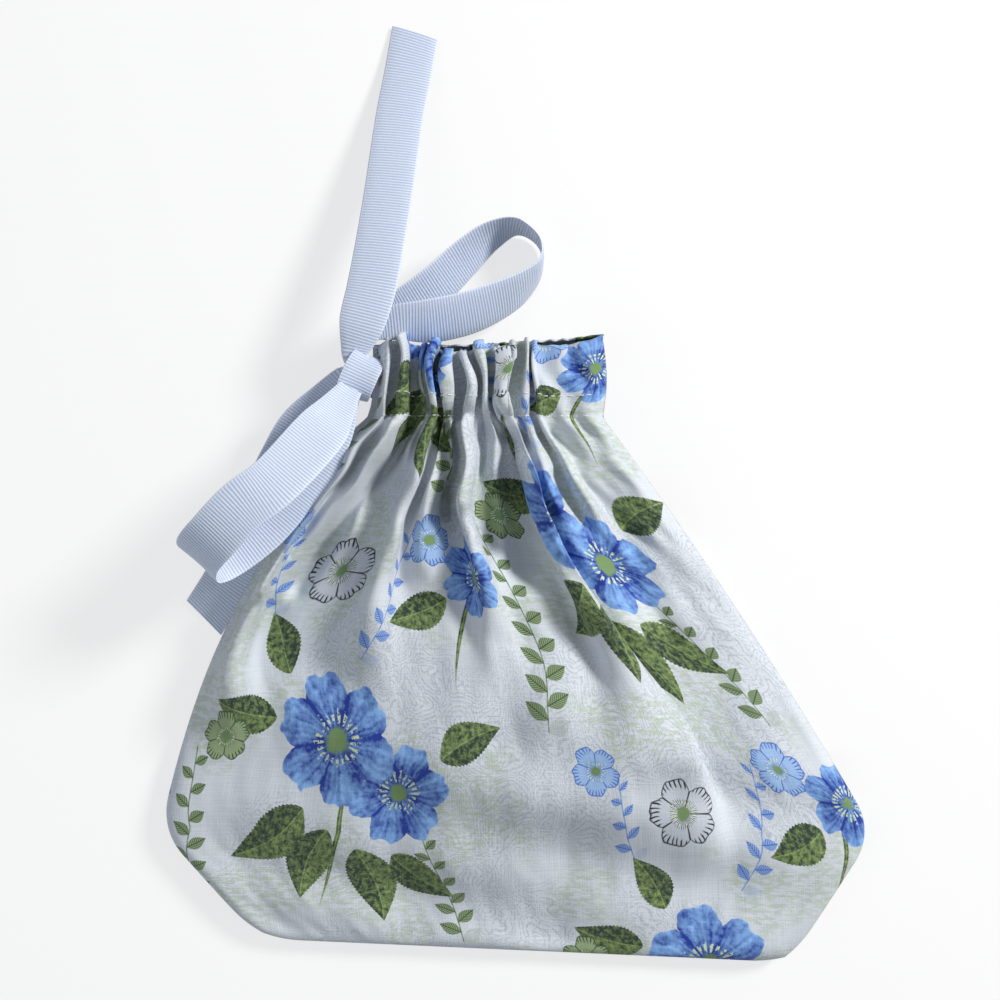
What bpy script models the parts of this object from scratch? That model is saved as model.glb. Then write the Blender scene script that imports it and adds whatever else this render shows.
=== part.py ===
"""Drawstring pouch of printed cotton with a blue lining, lying on its back, its ribbon tied in a bow.

The bag lies with its mouth towards +Y and its back on the plane Z = 0. The origin is under the
middle of the bag. Each cloth sheet is worked out on its flat cut: across runs from 0 at the left
seam to 1 at the right seam, and up is the distance in metres from the bottom seam to the rim.
"""

import math
from collections import namedtuple

import bmesh
import bpy
import numpy as np
from mathutils import Vector

# The flat cut of the bag, in metres, and the cloth's own thickness
PANEL_WIDTH = 0.240
PANEL_HEIGHT = 0.212
CASING_HEIGHT = 0.0275
COTTON = 0.0007
LINING_COTTON = 0.0005
SEAM_GAP = 0.0008

# The outline of the bag as it lies: its rounded front takes up a little of its cut's height
BAG_WIDTH = 0.2336
PUFF_TAKE_UP = 0.0030
NECK_WIDTH = 0.0750
NECK_SHIFT = -0.0090
BOTTOM_SLANT = 0.0080
LEFT_CORNER_ACROSS = 0.033
LEFT_CORNER_UP = 0.037
RIGHT_CORNER_ACROSS = 0.028
RIGHT_CORNER_UP = 0.044
CORNER_LENGTH = 0.045
LEFT_BELLY = 0.012
RIGHT_BELLY = 0.003
HIP_ROUND = 0.012
RIM_DIP = 0.0035
FRONT_RIM_STEP = 0.0035

# Heights above the surface that the bag lies on
BOTTOM_SEAM_HEIGHT = 0.0038
SIDE_SEAM_HEIGHT = 0.0045
NECK_SEAM_HEIGHT = 0.0140
SIDE_RISE = 0.0042
NECK_RISE = 0.0068
FRONT_PUFF = 0.0120
BACK_NECK_LIFT = 0.0066
OPEN_SEAM = 0.0020

# Gathers: how high the folds may stand, and how steep a wall may be in radians
FRONT_RUFFLE_DEPTH = 0.0070
FRONT_FOLD_DEPTH = 0.0085
BACK_RUFFLE_DEPTH = 0.0062
STEEPEST = 1.45

# The lining lies inside the cotton
LINING_INSET = 0.0035
LINING_NECK_INSET = 0.0045
LINING_RISE = 0.0026
LINING_NECK_RISE = 0.0035
LINING_FLOOR = 0.0015
LINING_NECK_FLOOR = 0.0096
LINING_PUFF_GAP = 0.0015
RIM_TURN = 0.0020

# The ribbon, 5/8 inch grosgrain, and its knot
RIBBON_WIDTH = 0.0160
RIBBON_THICKNESS = 0.0005
RIBBON_STEP = 0.0075
CHANNEL_ABOVE_STITCHES = 0.0092
CHANNEL_HALF_HEIGHT = 0.0056
KNOT_OFF_CHANNEL = (-0.0030, 0.0031, 0.0090)
KNOT_HALF_SIZE = (0.0050, 0.0080, 0.0055)
KNOT_TURN = math.radians(20)

# How finely each sheet is cut into faces
FRONT_COLUMNS = 53
BACK_COLUMNS = 34
LINING_COLUMNS = 22
FINE_COLUMNS = 721
ROUND_STEPS = (0.0, 0.0010, 0.0024, 0.0044, 0.0072)
HIP_ROWS = (0.022, 0.039, 0.047, 0.056)

# A fold of a sheet: where its crest lies across the cut at the casing and at its foot, how far
# below the casing it dies out, the share of the cut's width that it takes in at both ends, and its
# strength. A crest rises and falls, and a step only falls, to the right.
Fold = namedtuple("Fold", "kind top foot reach top_share foot_share strength")

FRONT_FOLDS = [
    Fold("crest", 0.060, 0.110, 0.110, 0.105, 0.15, 0.75),
    Fold("crest", 0.180, 0.200, 0.040, 0.130, 0.13, 0.90),
    Fold("crest", 0.315, 0.300, 0.075, 0.140, 0.18, 0.95),
    Fold("crest", 0.448, 0.470, 0.090, 0.125, 0.13, 1.00),
    Fold("crest", 0.580, 0.590, 0.045, 0.140, 0.12, 0.80),
    Fold("crest", 0.715, 0.690, 0.110, 0.130, 0.20, 1.10),
    Fold("crest", 0.840, 0.860, 0.050, 0.120, 0.12, 0.80),
    Fold("step", 0.740, 0.790, 0.165, 0.060, 0.080, 1.30),
]
BACK_FOLDS = [
    Fold("crest", 0.080, 0.150, 0.060, 0.160, 0.20, 0.9),
    Fold("crest", 0.240, 0.270, 0.045, 0.160, 0.18, 0.9),
    Fold("crest", 0.405, 0.410, 0.060, 0.170, 0.20, 1.0),
    Fold("crest", 0.575, 0.580, 0.045, 0.170, 0.18, 0.9),
    Fold("crest", 0.740, 0.730, 0.060, 0.160, 0.20, 0.9),
    Fold("crest", 0.890, 0.850, 0.045, 0.140, 0.16, 0.8),
]

# A point of a ribbon's route: the middle of the ribbon, x and y from the knot and z from the surface
# below the bag, where its width points to (a plan heading and a lean above level, in degrees), and
# how much of its width shows there
Point = namedtuple("Point", "x y z heading lean width")

TAIL_UP = [
    Point(-0.0018, 0.0081, 0.0252, -20, 0, 0.56),
    Point(0.0005, 0.0167, 0.0270, -14, 4, 0.91),
    Point(0.0035, 0.0287, 0.0255, -9, 6, 1),
    Point(0.0058, 0.0437, 0.0215, -8, 6, 1),
    Point(0.0082, 0.0627, 0.0155, -7, 4, 1),
    Point(0.0109, 0.0877, 0.0075, -6, 2, 1),
    Point(0.0134, 0.1036, 0.0035, -6, 1, 1),
    Point(0.0157, 0.1184, 0.0012, -6, 0, 1),
]
LOOP_RIGHT = [
    Point(-0.0025, 0.0097, 0.0172, 172, 5, 0.5),
    Point(0.0005, 0.0169, 0.0155, 158, 18, 0.57),
    Point(0.0120, 0.0227, 0.0140, 138, 36, 0.91),
    Point(0.0233, 0.0312, 0.0130, 137, 45, 1),
    Point(0.0329, 0.0407, 0.0115, 135, 52, 1),
    Point(0.0417, 0.0482, 0.0100, 130, 65, 1),
    Point(0.0505, 0.0512, 0.0090, 125, 80, 1),
    Point(0.0577, 0.0459, 0.0088, 120, 86, 1),
    Point(0.0577, 0.0371, 0.0095, 115, 80, 1),
    Point(0.0519, 0.0304, 0.0125, 112, 62, 1),
    Point(0.0427, 0.0250, 0.0155, 110, 48, 1),
    Point(0.0330, 0.0210, 0.0180, 108, 40, 1),
    Point(0.0220, 0.0185, 0.0200, 110, 36, 0.97),
    Point(0.0115, 0.0179, 0.0212, 122, 25, 0.75),
    Point(0.0020, 0.0159, 0.0218, 152, 10, 0.56),
    Point(-0.0023, 0.0093, 0.0212, 172, 2, 0.5),
]
LOOP_LEFT = [
    Point(-0.0033, -0.0046, 0.0282, -40, 0, 0.5),
    Point(-0.0065, -0.0111, 0.0345, -42, 0, 0.75),
    Point(-0.0105, -0.0184, 0.0420, -42, 0, 1),
    Point(-0.0223, -0.0332, 0.0510, -42, 0, 1),
    Point(-0.0323, -0.0412, 0.0530, -42, 0, 1),
    Point(-0.0409, -0.0498, 0.0510, -42, 0, 1),
    Point(-0.0470, -0.0558, 0.0450, -42, 0, 1),
    Point(-0.0475, -0.0588, 0.0370, -42, 0, 1),
    Point(-0.0420, -0.0563, 0.0305, -42, 0, 1),
    Point(-0.0314, -0.0480, 0.0270, -42, 0, 1),
    Point(-0.0223, -0.0375, 0.0260, -42, 0, 1),
    Point(-0.0140, -0.0263, 0.0255, -42, 0, 1),
    Point(-0.0080, -0.0163, 0.0250, -40, 0, 0.75),
    Point(-0.0043, -0.0063, 0.0240, -38, 0, 0.5),
]
TAIL_BACK = [
    Point(-0.0067, -0.0005, 0.0200, -55, 0, 0.5),
    Point(-0.0130, -0.0078, 0.0165, -42, -10, 0.81),
    Point(-0.0204, -0.0154, 0.0125, -35, -20, 1),
    Point(-0.0270, -0.0253, 0.0090, -30, -20, 1),
    Point(-0.0365, -0.0433, 0.0045, -28, -8, 1),
    Point(-0.0455, -0.0623, 0.0014, -30, 0, 1),
    Point(-0.0555, -0.0788, 0.0010, -35, 0, 1),
]
TAIL_UP_CUT = 0.0045
TAIL_BACK_CUT = 0.0020

# The ribbon's way from the knot into the casing and out again, across and up from the left end of
# the neck's seam, and its pinched width there
CASING_ENTRY = [(-0.0030, 0.0027), (-0.0012, 0.0013), (0.0008, 0.0012), (0.0030, 0.0032),
                (0.0060, 0.0051)]
CASING_EXIT = [(0.0060, -0.0051), (0.0030, -0.0032), (0.0008, -0.0010), (-0.0020, -0.0007),
               (-0.0040, 0.0027)]
CASING_END = 0.0090
CASING_TURN_INSET = 0.0080
PINCHED_WIDTH = 0.0090

BAG_LENGTH = PANEL_HEIGHT - PUFF_TAKE_UP
RIM = BAG_LENGTH / 2
STITCH_LINE = RIM - CASING_HEIGHT
STITCH_UP = PANEL_HEIGHT - CASING_HEIGHT
NECK_LEFT = NECK_SHIFT - NECK_WIDTH / 2
NECK_RIGHT = NECK_SHIFT + NECK_WIDTH / 2
CHANNEL_MIDDLE = STITCH_LINE + CHANNEL_ABOVE_STITCHES
KNOT_CENTRE = (NECK_LEFT + KNOT_OFF_CHANNEL[0], CHANNEL_MIDDLE + KNOT_OFF_CHANNEL[1],
               NECK_SEAM_HEIGHT + KNOT_OFF_CHANNEL[2])


def ease(value, low, high):
    """0 below low, 1 above high, and a smooth rise between."""
    share = np.clip((value - low) / (high - low), 0.0, 1.0)
    return share * share * (3.0 - 2.0 * share)


def blend(low, high, weight):
    return low + (high - low) * weight


def quarter_round(distance, radius):
    """The height of a quarter circle over its foot, as a share of its radius."""
    share = np.clip(distance / radius, 0.0, 1.0)
    return np.sqrt(1.0 - (1.0 - share) ** 2)


def rounded_path(corners, radius, pieces=10):
    """The polyline through corners, each one cut by a smooth curve that starts radius away."""
    corners = [np.array(c, float) for c in corners]
    path = [corners[0]]
    for before, corner, after in zip(corners, corners[1:], corners[2:]):
        start = corner + (before - corner) / np.linalg.norm(before - corner) * radius
        end = corner + (after - corner) / np.linalg.norm(after - corner) * radius
        for t in np.linspace(0.0, 1.0, pieces):
            path.append((1 - t) ** 2 * start + 2 * t * (1 - t) * corner + t * t * end)
    path.append(corners[-1])
    return np.array(path)


def along(path, shares):
    """Points at the given shares of a polyline's length."""
    steps = np.linalg.norm(np.diff(path, axis=0), axis=1)
    travelled = np.concatenate([[0.0], np.cumsum(steps)])
    at = np.asarray(shares, float) * travelled[-1]
    return np.stack([np.interp(at, travelled, path[:, k]) for k in range(2)], axis=-1)


def side_curve(toe, hip, stitch, belly, pieces=24):
    """A side of the bag from the bottom seam, up its cut corner and round its hip to the casing."""
    hip, stitch = np.array(hip), np.array(stitch)
    chord = stitch - hip
    outward = np.array([-chord[1], chord[0]]) / np.linalg.norm(chord)
    if outward[0] * hip[0] < 0:
        outward = -outward
    shares = np.linspace(0.0, 1.0, pieces)[:, None]
    bowed = hip + shares * chord + belly * np.sin(math.pi * shares) * outward
    bowed = bowed[np.linalg.norm(bowed - hip, axis=1) > HIP_ROUND * 1.2]
    side = np.concatenate([rounded_path([toe, hip, bowed[0]], HIP_ROUND), bowed[1:]])
    widened = BAG_WIDTH / 2 / np.abs(side[:, 0]).max()
    side[:, 0] *= blend(widened, 1.0, np.linspace(0.0, 1.0, len(side)) ** 2)
    return side


def outline():
    """The edges of the bag as it lies: bottom, left and right sides, casing line and rim."""
    half = BAG_WIDTH / 2
    left_hip = (-half, -RIM + BOTTOM_SLANT + LEFT_CORNER_UP)
    left_toe = (-half + LEFT_CORNER_ACROSS, -RIM + BOTTOM_SLANT)
    right_hip = (half, -RIM + RIGHT_CORNER_UP)
    right_toe = (half - RIGHT_CORNER_ACROSS, -RIM)
    left = side_curve(left_toe, left_hip, (NECK_LEFT, STITCH_LINE), LEFT_BELLY)
    right = side_curve(right_toe, right_hip, (NECK_RIGHT, STITCH_LINE), RIGHT_BELLY)
    shares = np.linspace(0.0, 1.0, 40)
    rim_heights = RIM - RIM_TURN - RIM_DIP * (1.0 - shares ** 2)
    return {
        "bottom": np.array([left[0], right[0]]),
        "left": left,
        "right": right,
        "stitch": np.array([[NECK_LEFT, STITCH_LINE], [NECK_RIGHT, STITCH_LINE]]),
        "rim": np.stack([NECK_LEFT + NECK_WIDTH * shares, rim_heights], axis=1),
    }


EDGES = outline()


def place_in_plan(share, up, lowered=0.0):
    """Where points lie in plan, from their share of the way across the bag and up its cut."""
    share, up = np.broadcast_arrays(share, up)
    body = np.clip(up / STITCH_UP, 0.0, 1.0)
    casing = np.clip((up - STITCH_UP) / CASING_HEIGHT, 0.0, 1.0)[..., None]
    u, w = share[..., None], body[..., None]
    left, right = EDGES["left"], EDGES["right"]
    edges = (1 - w) * along(EDGES["bottom"], share) + w * along(EDGES["stitch"], share)
    edges = edges + (1 - u) * along(left, body) + u * along(right, body)
    corners = (1 - u) * ((1 - w) * left[0] + w * left[-1]) + u * ((1 - w) * right[0] + w * right[-1])
    rim = along(EDGES["rim"], share)
    rim[..., 1] -= lowered
    return edges - corners + casing * (rim - along(EDGES["stitch"], share))


def rim_step(columns):
    """How far the front's rim lies below the back's, which it meets at both side seams."""
    return FRONT_RIM_STEP * (1.0 - np.abs(2 * columns - 1) ** 6)


def row_width(up):
    """How wide the bag lies at each distance up its cut."""
    row = place_in_plan(np.linspace(0.0, 1.0, 61)[None, :], up[:, None])
    return np.linalg.norm(np.diff(row, axis=1), axis=2).sum(axis=1)


def edge_distance(place):
    """How far each point of a sheet lies, in plan, from the sheet's two sides and its bottom row."""
    edge = np.concatenate([place[::-1, 0], place[0], place[:, -1]])
    start, run = edge[:-1], np.diff(edge, axis=0)
    keep = np.linalg.norm(run, axis=1) > 1e-9
    start, run = start[keep], run[keep]
    offset = place[..., None, :] - start
    share = np.clip((offset * run).sum(axis=-1) / (run * run).sum(axis=-1), 0.0, 1.0)
    return np.linalg.norm(offset - share[..., None] * run, axis=-1).min(axis=-1)


def cut_width(up):
    """How wide the flat cut is at each distance up it: its bottom corners are cut off."""
    left = LEFT_CORNER_ACROSS * np.clip(1.0 - up / CORNER_LENGTH, 0.0, 1.0)
    right = RIGHT_CORNER_ACROSS * np.clip(1.0 - up / CORNER_LENGTH, 0.0, 1.0)
    return PANEL_WIDTH - left - right


def neckness(up, reach=0.060):
    """1 from the casing line up, falling to 0 at reach below it."""
    return ease(up, STITCH_UP - reach, STITCH_UP)


def seam_height(up):
    """The height of the side seams, from the bottom seam up to the drawn neck."""
    side = blend(SIDE_SEAM_HEIGHT, NECK_SEAM_HEIGHT, neckness(up, 0.085))
    return blend(BOTTOM_SEAM_HEIGHT, side, ease(up, 0.0, 0.020))


def edge_radius(up):
    return blend(SIDE_RISE, NECK_RISE, neckness(up))


def fold_slopes(folds, across, up):
    """How steeply the folds tip the cloth at each point, before its row is drawn to its width."""
    below = np.clip(STITCH_UP - up, 0.0, None)[:, None]
    slope = np.zeros((len(up), len(across)))
    for fold in folds:
        grown = np.clip(below / fold.reach, 0.0, 1.0)
        centre = blend(fold.top, fold.foot, grown)
        taken = blend(fold.top_share, fold.foot_share, grown)
        phase = np.clip((across[None, :] - centre) / taken, -0.5, 0.5)
        fade = fold.strength * (1.0 - ease(below, 0.0, fold.reach))
        if fold.kind == "step":
            fade = fade * ease(below, 0.0, 0.3 * fold.reach)
            slope = slope - fade * np.cos(math.pi * phase) ** 2
        else:
            slope = slope - fade * np.sin(2 * math.pi * phase)
    return slope


def draw_rows(folds, up):
    """Draws each row of cloth to the width that the bag has there.

    Returns the places along the cut, each one's share of the drawn width, and its height above
    the row's lowest valley.
    """
    across = np.linspace(0.0, 1.0, FINE_COLUMNS)
    step = PANEL_WIDTH / (FINE_COLUMNS - 1)
    taken_by_sides = (math.pi - 2) * edge_radius(up)
    target = np.minimum(row_width(up) + taken_by_sides, cut_width(up) * 0.997) / cut_width(up)
    target = target[:, None] * PANEL_WIDTH
    slope = fold_slopes(folds, across, up)
    low = np.zeros_like(target)
    high = np.full_like(target, 8.0)
    for _ in range(26):
        gain = (low + high) / 2
        angle = STEEPEST * np.tanh(gain * slope / STEEPEST)
        too_wide = np.cos(angle).sum(axis=1, keepdims=True) * step > target
        low = np.where(too_wide, gain, low)
        high = np.where(too_wide, high, gain)
    run = np.cumsum(np.cos(angle), axis=1)
    share = (run - run[:, :1]) / (run[:, -1:] - run[:, :1])
    height = np.cumsum(np.sin(angle), axis=1) * step
    height = height - height[:, -1:] * np.clip(share / 0.6, 0.0, 1.0)
    return across, share, height - height.min(axis=1, keepdims=True)


def limit_rows(height, depth):
    """Presses down each row whose folds stand higher than depth."""
    highest = np.maximum(height.max(axis=1), 1e-9)
    return height * np.minimum(1.0, depth / highest)[:, None]


def front_top(share, up):
    """The fullness of the front between its rounded sides."""
    fullness = ease(up, 0.010, 0.090) * (1.0 - ease(up, 0.110, STITCH_UP))
    return FRONT_PUFF * fullness[:, None] * np.sin(math.pi * share) ** 1.2


def folds_at(folds, columns, up, depth):
    """The shares and fold heights of the given cloth columns."""
    across, fine_share, fine_height = draw_rows(folds, up)
    fine_height = limit_rows(fine_height, depth)
    share = np.stack([np.interp(columns, across, row) for row in fine_share])
    height = np.stack([np.interp(columns, across, row) for row in fine_height])
    return share, height


def front_surface(columns, up):
    """The outer face of the front panel, as rows of points."""
    depth = blend(FRONT_FOLD_DEPTH, FRONT_RUFFLE_DEPTH, neckness(up, 0.030))
    share, height = folds_at(FRONT_FOLDS, columns, up, depth)
    place = place_in_plan(share, up[:, None], rim_step(share))
    distance = edge_distance(place)
    radius = edge_radius(up)[:, None]
    rounding = quarter_round(distance, radius)
    opening = OPEN_SEAM * ease(up, STITCH_UP - 0.008, STITCH_UP)[:, None] * (1.0 - share) ** 8
    foot = seam_height(up)[:, None] + SEAM_GAP / 2 + opening
    lying = radius - opening + front_top(share, up) + height * ease(distance, 0.0, 0.007)
    z = foot + lying * rounding
    return np.concatenate([place, z[..., None]], axis=2)


def back_surface(columns, up):
    """The outer face of the back panel, which lies on the surface below the bag."""
    share, height = folds_at(BACK_FOLDS, columns, up, np.full(len(up), BACK_RUFFLE_DEPTH))
    place = place_in_plan(share, up[:, None])
    rounding = quarter_round(edge_distance(place), edge_radius(up)[:, None])
    opening = OPEN_SEAM * ease(up, STITCH_UP - 0.008, STITCH_UP)[:, None] * (1.0 - share) ** 8
    foot = seam_height(up)[:, None] - SEAM_GAP / 2 - opening
    lift = neckness(up)[:, None] * (BACK_NECK_LIFT - height)
    z = blend(foot, lift, rounding)
    return np.concatenate([place, z[..., None]], axis=2)


def lining_surface(columns, up, front):
    """The outer face of one side of the lining."""
    width = row_width(up)[:, None]
    inset = blend(LINING_INSET, LINING_NECK_INSET, neckness(up, 0.030))[:, None]
    share = (inset + columns[None, :] * (width - 2 * inset)) / width
    place = place_in_plan(share, up[:, None], rim_step(columns) if front else 0.0)
    radius = blend(SIDE_RISE, NECK_RISE * 0.7, neckness(up))[:, None]
    rounding = quarter_round(edge_distance(place), radius)
    seam = seam_height(up)[:, None]
    if front:
        rise = blend(LINING_RISE, LINING_NECK_RISE, neckness(up))[:, None]
        slack = LINING_PUFF_GAP * ease(front_top(share, up), 0.0, 0.008)
        z = seam + rounding * (rise + front_top(share, up) - slack)
    else:
        z = blend(seam, blend(LINING_FLOOR, LINING_NECK_FLOOR, neckness(up))[:, None], rounding)
    return np.concatenate([place, z[..., None]], axis=2)


def turn_in_rim(rows, lining_rim, side):
    """Adds a panel's turned-in edge past its rim, to the height of the lining's own rim.

    The side is 1 for the front, which turns down, and -1 for the back, which turns up.
    """
    rim = rows[-1]
    fall = lining_rim[:, 2] + side * SEAM_GAP / 2 - rim[:, 2]
    added = []
    for turned, fallen in ((0.57, 0.08), (0.94, 0.35), (1.0, 1.0)):
        point = rim.copy()
        point[:, 1] += RIM_TURN * turned
        point[:, 2] += fall * fallen
        added.append(point)
    return np.concatenate([rows, np.array(added)])


def grid_mesh(name, rows, upwards=True):
    """A sheet from rows of points, its faces pointing up or down."""
    mesh = bpy.data.meshes.new(name)
    bm = bmesh.new()
    verts = [[bm.verts.new(p) for p in row] for row in rows]
    for low, high in zip(verts, verts[1:]):
        for k in range(len(low) - 1):
            corners = [low[k], low[k + 1], high[k + 1], high[k]]
            bm.faces.new(corners if upwards else corners[::-1])
    bm.to_mesh(mesh)
    bm.free()
    return mesh


def make_material(name, colour, roughness):
    material = bpy.data.materials.new(name)
    material.use_nodes = True
    shader = material.node_tree.nodes["Principled BSDF"]
    shader.inputs["Base Color"].default_value = (*colour, 1.0)
    shader.inputs["Roughness"].default_value = roughness
    shader.inputs["Metallic"].default_value = 0.0
    return material


def add_piece(name, mesh, material, collection, thickness=0.0, offset=-1.0):
    """Puts a mesh in the scene, as a shell if it has a thickness."""
    piece = bpy.data.objects.new(name, mesh)
    mesh.materials.append(material)
    mesh.shade_smooth()
    collection.objects.link(piece)
    if thickness:
        shell = piece.modifiers.new("Thickness", "SOLIDIFY")
        shell.thickness = thickness
        shell.offset = offset
    return piece


def edge_spaced(count):
    """Columns from 0 to 1, even but for the rounded sides, where they lie closer together."""
    rounded = np.array(ROUND_STEPS) / PANEL_WIDTH
    even = np.linspace(rounded[-1], 1.0 - rounded[-1], count - 2 * len(rounded) + 3)
    return np.concatenate([rounded[:-1], even, (1.0 - rounded[:-1])[::-1]])


def cloth_rows(start, finish, body_rows, casing_rows):
    """Rows up the cut: close together at the bottom seam, then even to the casing and to the rim."""
    foot = start + np.array(ROUND_STEPS + HIP_ROWS)
    body = np.linspace(foot[-1], STITCH_UP, body_rows + 1)
    casing = np.linspace(STITCH_UP, finish, casing_rows + 1)
    return np.concatenate([foot[:-1], body[:-1], casing])


def rim_below(panel_rim, lining_rim):
    """The lining's rim, read at the places of the panel's rim."""
    return np.stack([np.interp(panel_rim[:, 0], lining_rim[:, 0], lining_rim[:, k])
                     for k in range(3)], axis=1)


def make_cloth(collection):
    cotton = make_material("printed_cotton", (0.62, 0.68, 0.74), 0.85)
    blue = make_material("blue_lining", (0.03, 0.09, 0.17), 0.80)

    lining_up = cloth_rows(LINING_INSET, PANEL_HEIGHT - 0.0010, 4, 2)
    lining_columns = edge_spaced(LINING_COLUMNS)
    lining_front = lining_surface(lining_columns, lining_up, True)
    lining_back = lining_surface(lining_columns, lining_up, False)

    front = front_surface(edge_spaced(FRONT_COLUMNS), cloth_rows(0.0, PANEL_HEIGHT, 10, 3))
    front = turn_in_rim(front, rim_below(front[-1], lining_front[-1]), 1)
    add_piece("outer_front_panel", grid_mesh("outer_front_panel", front), cotton, collection, COTTON)

    back = back_surface(edge_spaced(BACK_COLUMNS), cloth_rows(0.0, PANEL_HEIGHT, 5, 2))
    back = turn_in_rim(back, rim_below(back[-1], lining_back[-1]), -1)
    add_piece("outer_back_panel", grid_mesh("outer_back_panel", back, upwards=False), cotton,
              collection, COTTON)

    bag = bmesh.new()
    bag.from_mesh(grid_mesh("lining_front", lining_front))
    bag.from_mesh(grid_mesh("lining_back", lining_back, upwards=False))
    bmesh.ops.remove_doubles(bag, verts=bag.verts, dist=0.00005)
    mesh = bpy.data.meshes.new("lining")
    bag.to_mesh(mesh)
    bag.free()
    add_piece("lining", mesh, blue, collection, LINING_COTTON)


def smooth_route(points, step):
    """Evenly spaced points on a smooth curve through a list of points of any dimension."""
    points = np.array(points, float)
    padded = np.concatenate([2 * points[:1] - points[1:2], points, 2 * points[-1:] - points[-2:-1]])
    curve = []
    for a, b, c, d in zip(padded, padded[1:], padded[2:], padded[3:]):
        for t in np.linspace(0.0, 1.0, 16, endpoint=False):
            curve.append(0.5 * (2 * b + (c - a) * t + (2 * a - 5 * b + 4 * c - d) * t * t
                                + (3 * b - a - 3 * c + d) * t ** 3))
    curve = np.array(curve + [points[-1]])
    lengths = np.linalg.norm(np.diff(curve[:, :3], axis=0), axis=1)
    travelled = np.concatenate([[0.0], np.cumsum(lengths)])
    count = max(4, round(travelled[-1] / step))
    at = np.linspace(0.0, travelled[-1], count + 1)
    return np.stack([np.interp(at, travelled, curve[:, k]) for k in range(curve.shape[1])], axis=1)


def width_direction(heading, lean):
    heading, lean = math.radians(heading), math.radians(lean)
    return (math.cos(heading) * math.cos(lean), math.sin(heading) * math.cos(lean), math.sin(lean))


def ribbon_mesh(name, route, end_cut=0.0):
    """A flat strip along a route of Points, its last end cut on a slant."""
    told = [(KNOT_CENTRE[0] + p.x, KNOT_CENTRE[1] + p.y, p.z,
             *width_direction(p.heading, p.lean), p.width * RIBBON_WIDTH) for p in route]
    path = smooth_route(told, RIBBON_STEP)
    rows = []
    for k, place in enumerate(path):
        middle = Vector(place[:3])
        travel = Vector(path[min(k + 1, len(path) - 1), :3] - path[max(k - 1, 0), :3]).normalized()
        across = Vector(place[3:6])
        across = (across - across.dot(travel) * travel).normalized() * place[6] / 2
        slant = travel * end_cut if k == len(path) - 1 else Vector()
        rows.append([middle - across - slant, middle + across + slant])
    return grid_mesh(name, rows)


def casing_route():
    """The ribbon's way round the neck inside the casing, seen along the bag: a ring open at the left."""
    top = NECK_SEAM_HEIGHT + CHANNEL_HALF_HEIGHT
    low = NECK_SEAM_HEIGHT - CHANNEL_HALF_HEIGHT
    turn = NECK_RIGHT - CASING_TURN_INSET
    first = NECK_LEFT + CASING_END
    across = np.linspace(first, turn, 6)[:-1]
    route = [(NECK_LEFT + x, NECK_SEAM_HEIGHT + z) for x, z in CASING_ENTRY]
    route += [(x, top) for x in across]
    for angle in np.linspace(math.pi / 2, -math.pi / 2, 7):
        route.append((turn + CHANNEL_HALF_HEIGHT * math.cos(angle),
                      NECK_SEAM_HEIGHT + CHANNEL_HALF_HEIGHT * math.sin(angle)))
    route += [(x, low) for x in across[::-1]]
    route += [(NECK_LEFT + x, NECK_SEAM_HEIGHT + z) for x, z in CASING_EXIT]
    return route


def make_ribbon(collection):
    grosgrain = make_material("grosgrain", (0.52, 0.60, 0.82), 0.60)

    rows = []
    for x, z in casing_route():
        inside = float(ease(x, NECK_LEFT + CASING_ENTRY[0][0], NECK_LEFT + CASING_END))
        half = blend(PINCHED_WIDTH, RIBBON_WIDTH, inside) / 2
        middle = blend(KNOT_CENTRE[1], CHANNEL_MIDDLE, inside)
        rows.append([Vector((x, middle - half, z)), Vector((x, middle + half, z))])
    add_piece("ribbon_casing_run", grid_mesh("ribbon_casing_run", rows), grosgrain, collection,
              RIBBON_THICKNESS, 0.0)

    free_stretches = {
        "ribbon_tail_up": (TAIL_UP, TAIL_UP_CUT),
        "ribbon_loop_right": (LOOP_RIGHT, 0.0),
        "ribbon_loop_left": (LOOP_LEFT, 0.0),
        "ribbon_tail_back": (TAIL_BACK, TAIL_BACK_CUT),
    }
    for name, (route, cut) in free_stretches.items():
        add_piece(name, ribbon_mesh(name, route, cut), grosgrain, collection, RIBBON_THICKNESS, 0.0)

    bpy.ops.mesh.primitive_uv_sphere_add(segments=16, ring_count=10, radius=1.0)
    knot = bpy.context.object
    knot.name = knot.data.name = "ribbon_knot"
    knot.scale = KNOT_HALF_SIZE
    knot.rotation_euler = (0.0, 0.0, KNOT_TURN)
    knot.location = KNOT_CENTRE
    knot.data.materials.append(grosgrain)
    knot.data.shade_smooth()
    for owner in list(knot.users_collection):
        owner.objects.unlink(knot)
    collection.objects.link(knot)


def main():
    for thing in list(bpy.data.objects):
        bpy.data.objects.remove(thing, do_unlink=True)
    collection = bpy.data.collections.new("drawstring_pouch")
    bpy.context.scene.collection.children.link(collection)
    make_cloth(collection)
    make_ribbon(collection)


main()
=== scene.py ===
"""Dresses the drawstring pouch: printed cotton over a blue lining, gathered on a grosgrain ribbon.

The bag lies on its back with its mouth towards +Y, and the camera looks straight down on it. Each
cloth sheet is worked out on its flat cut, as in the part's source but with finer folds: across runs
from 0 at the left seam to 1 at the right seam, and up is the distance from the bottom seam.
"""

import math
from collections import namedtuple

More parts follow.
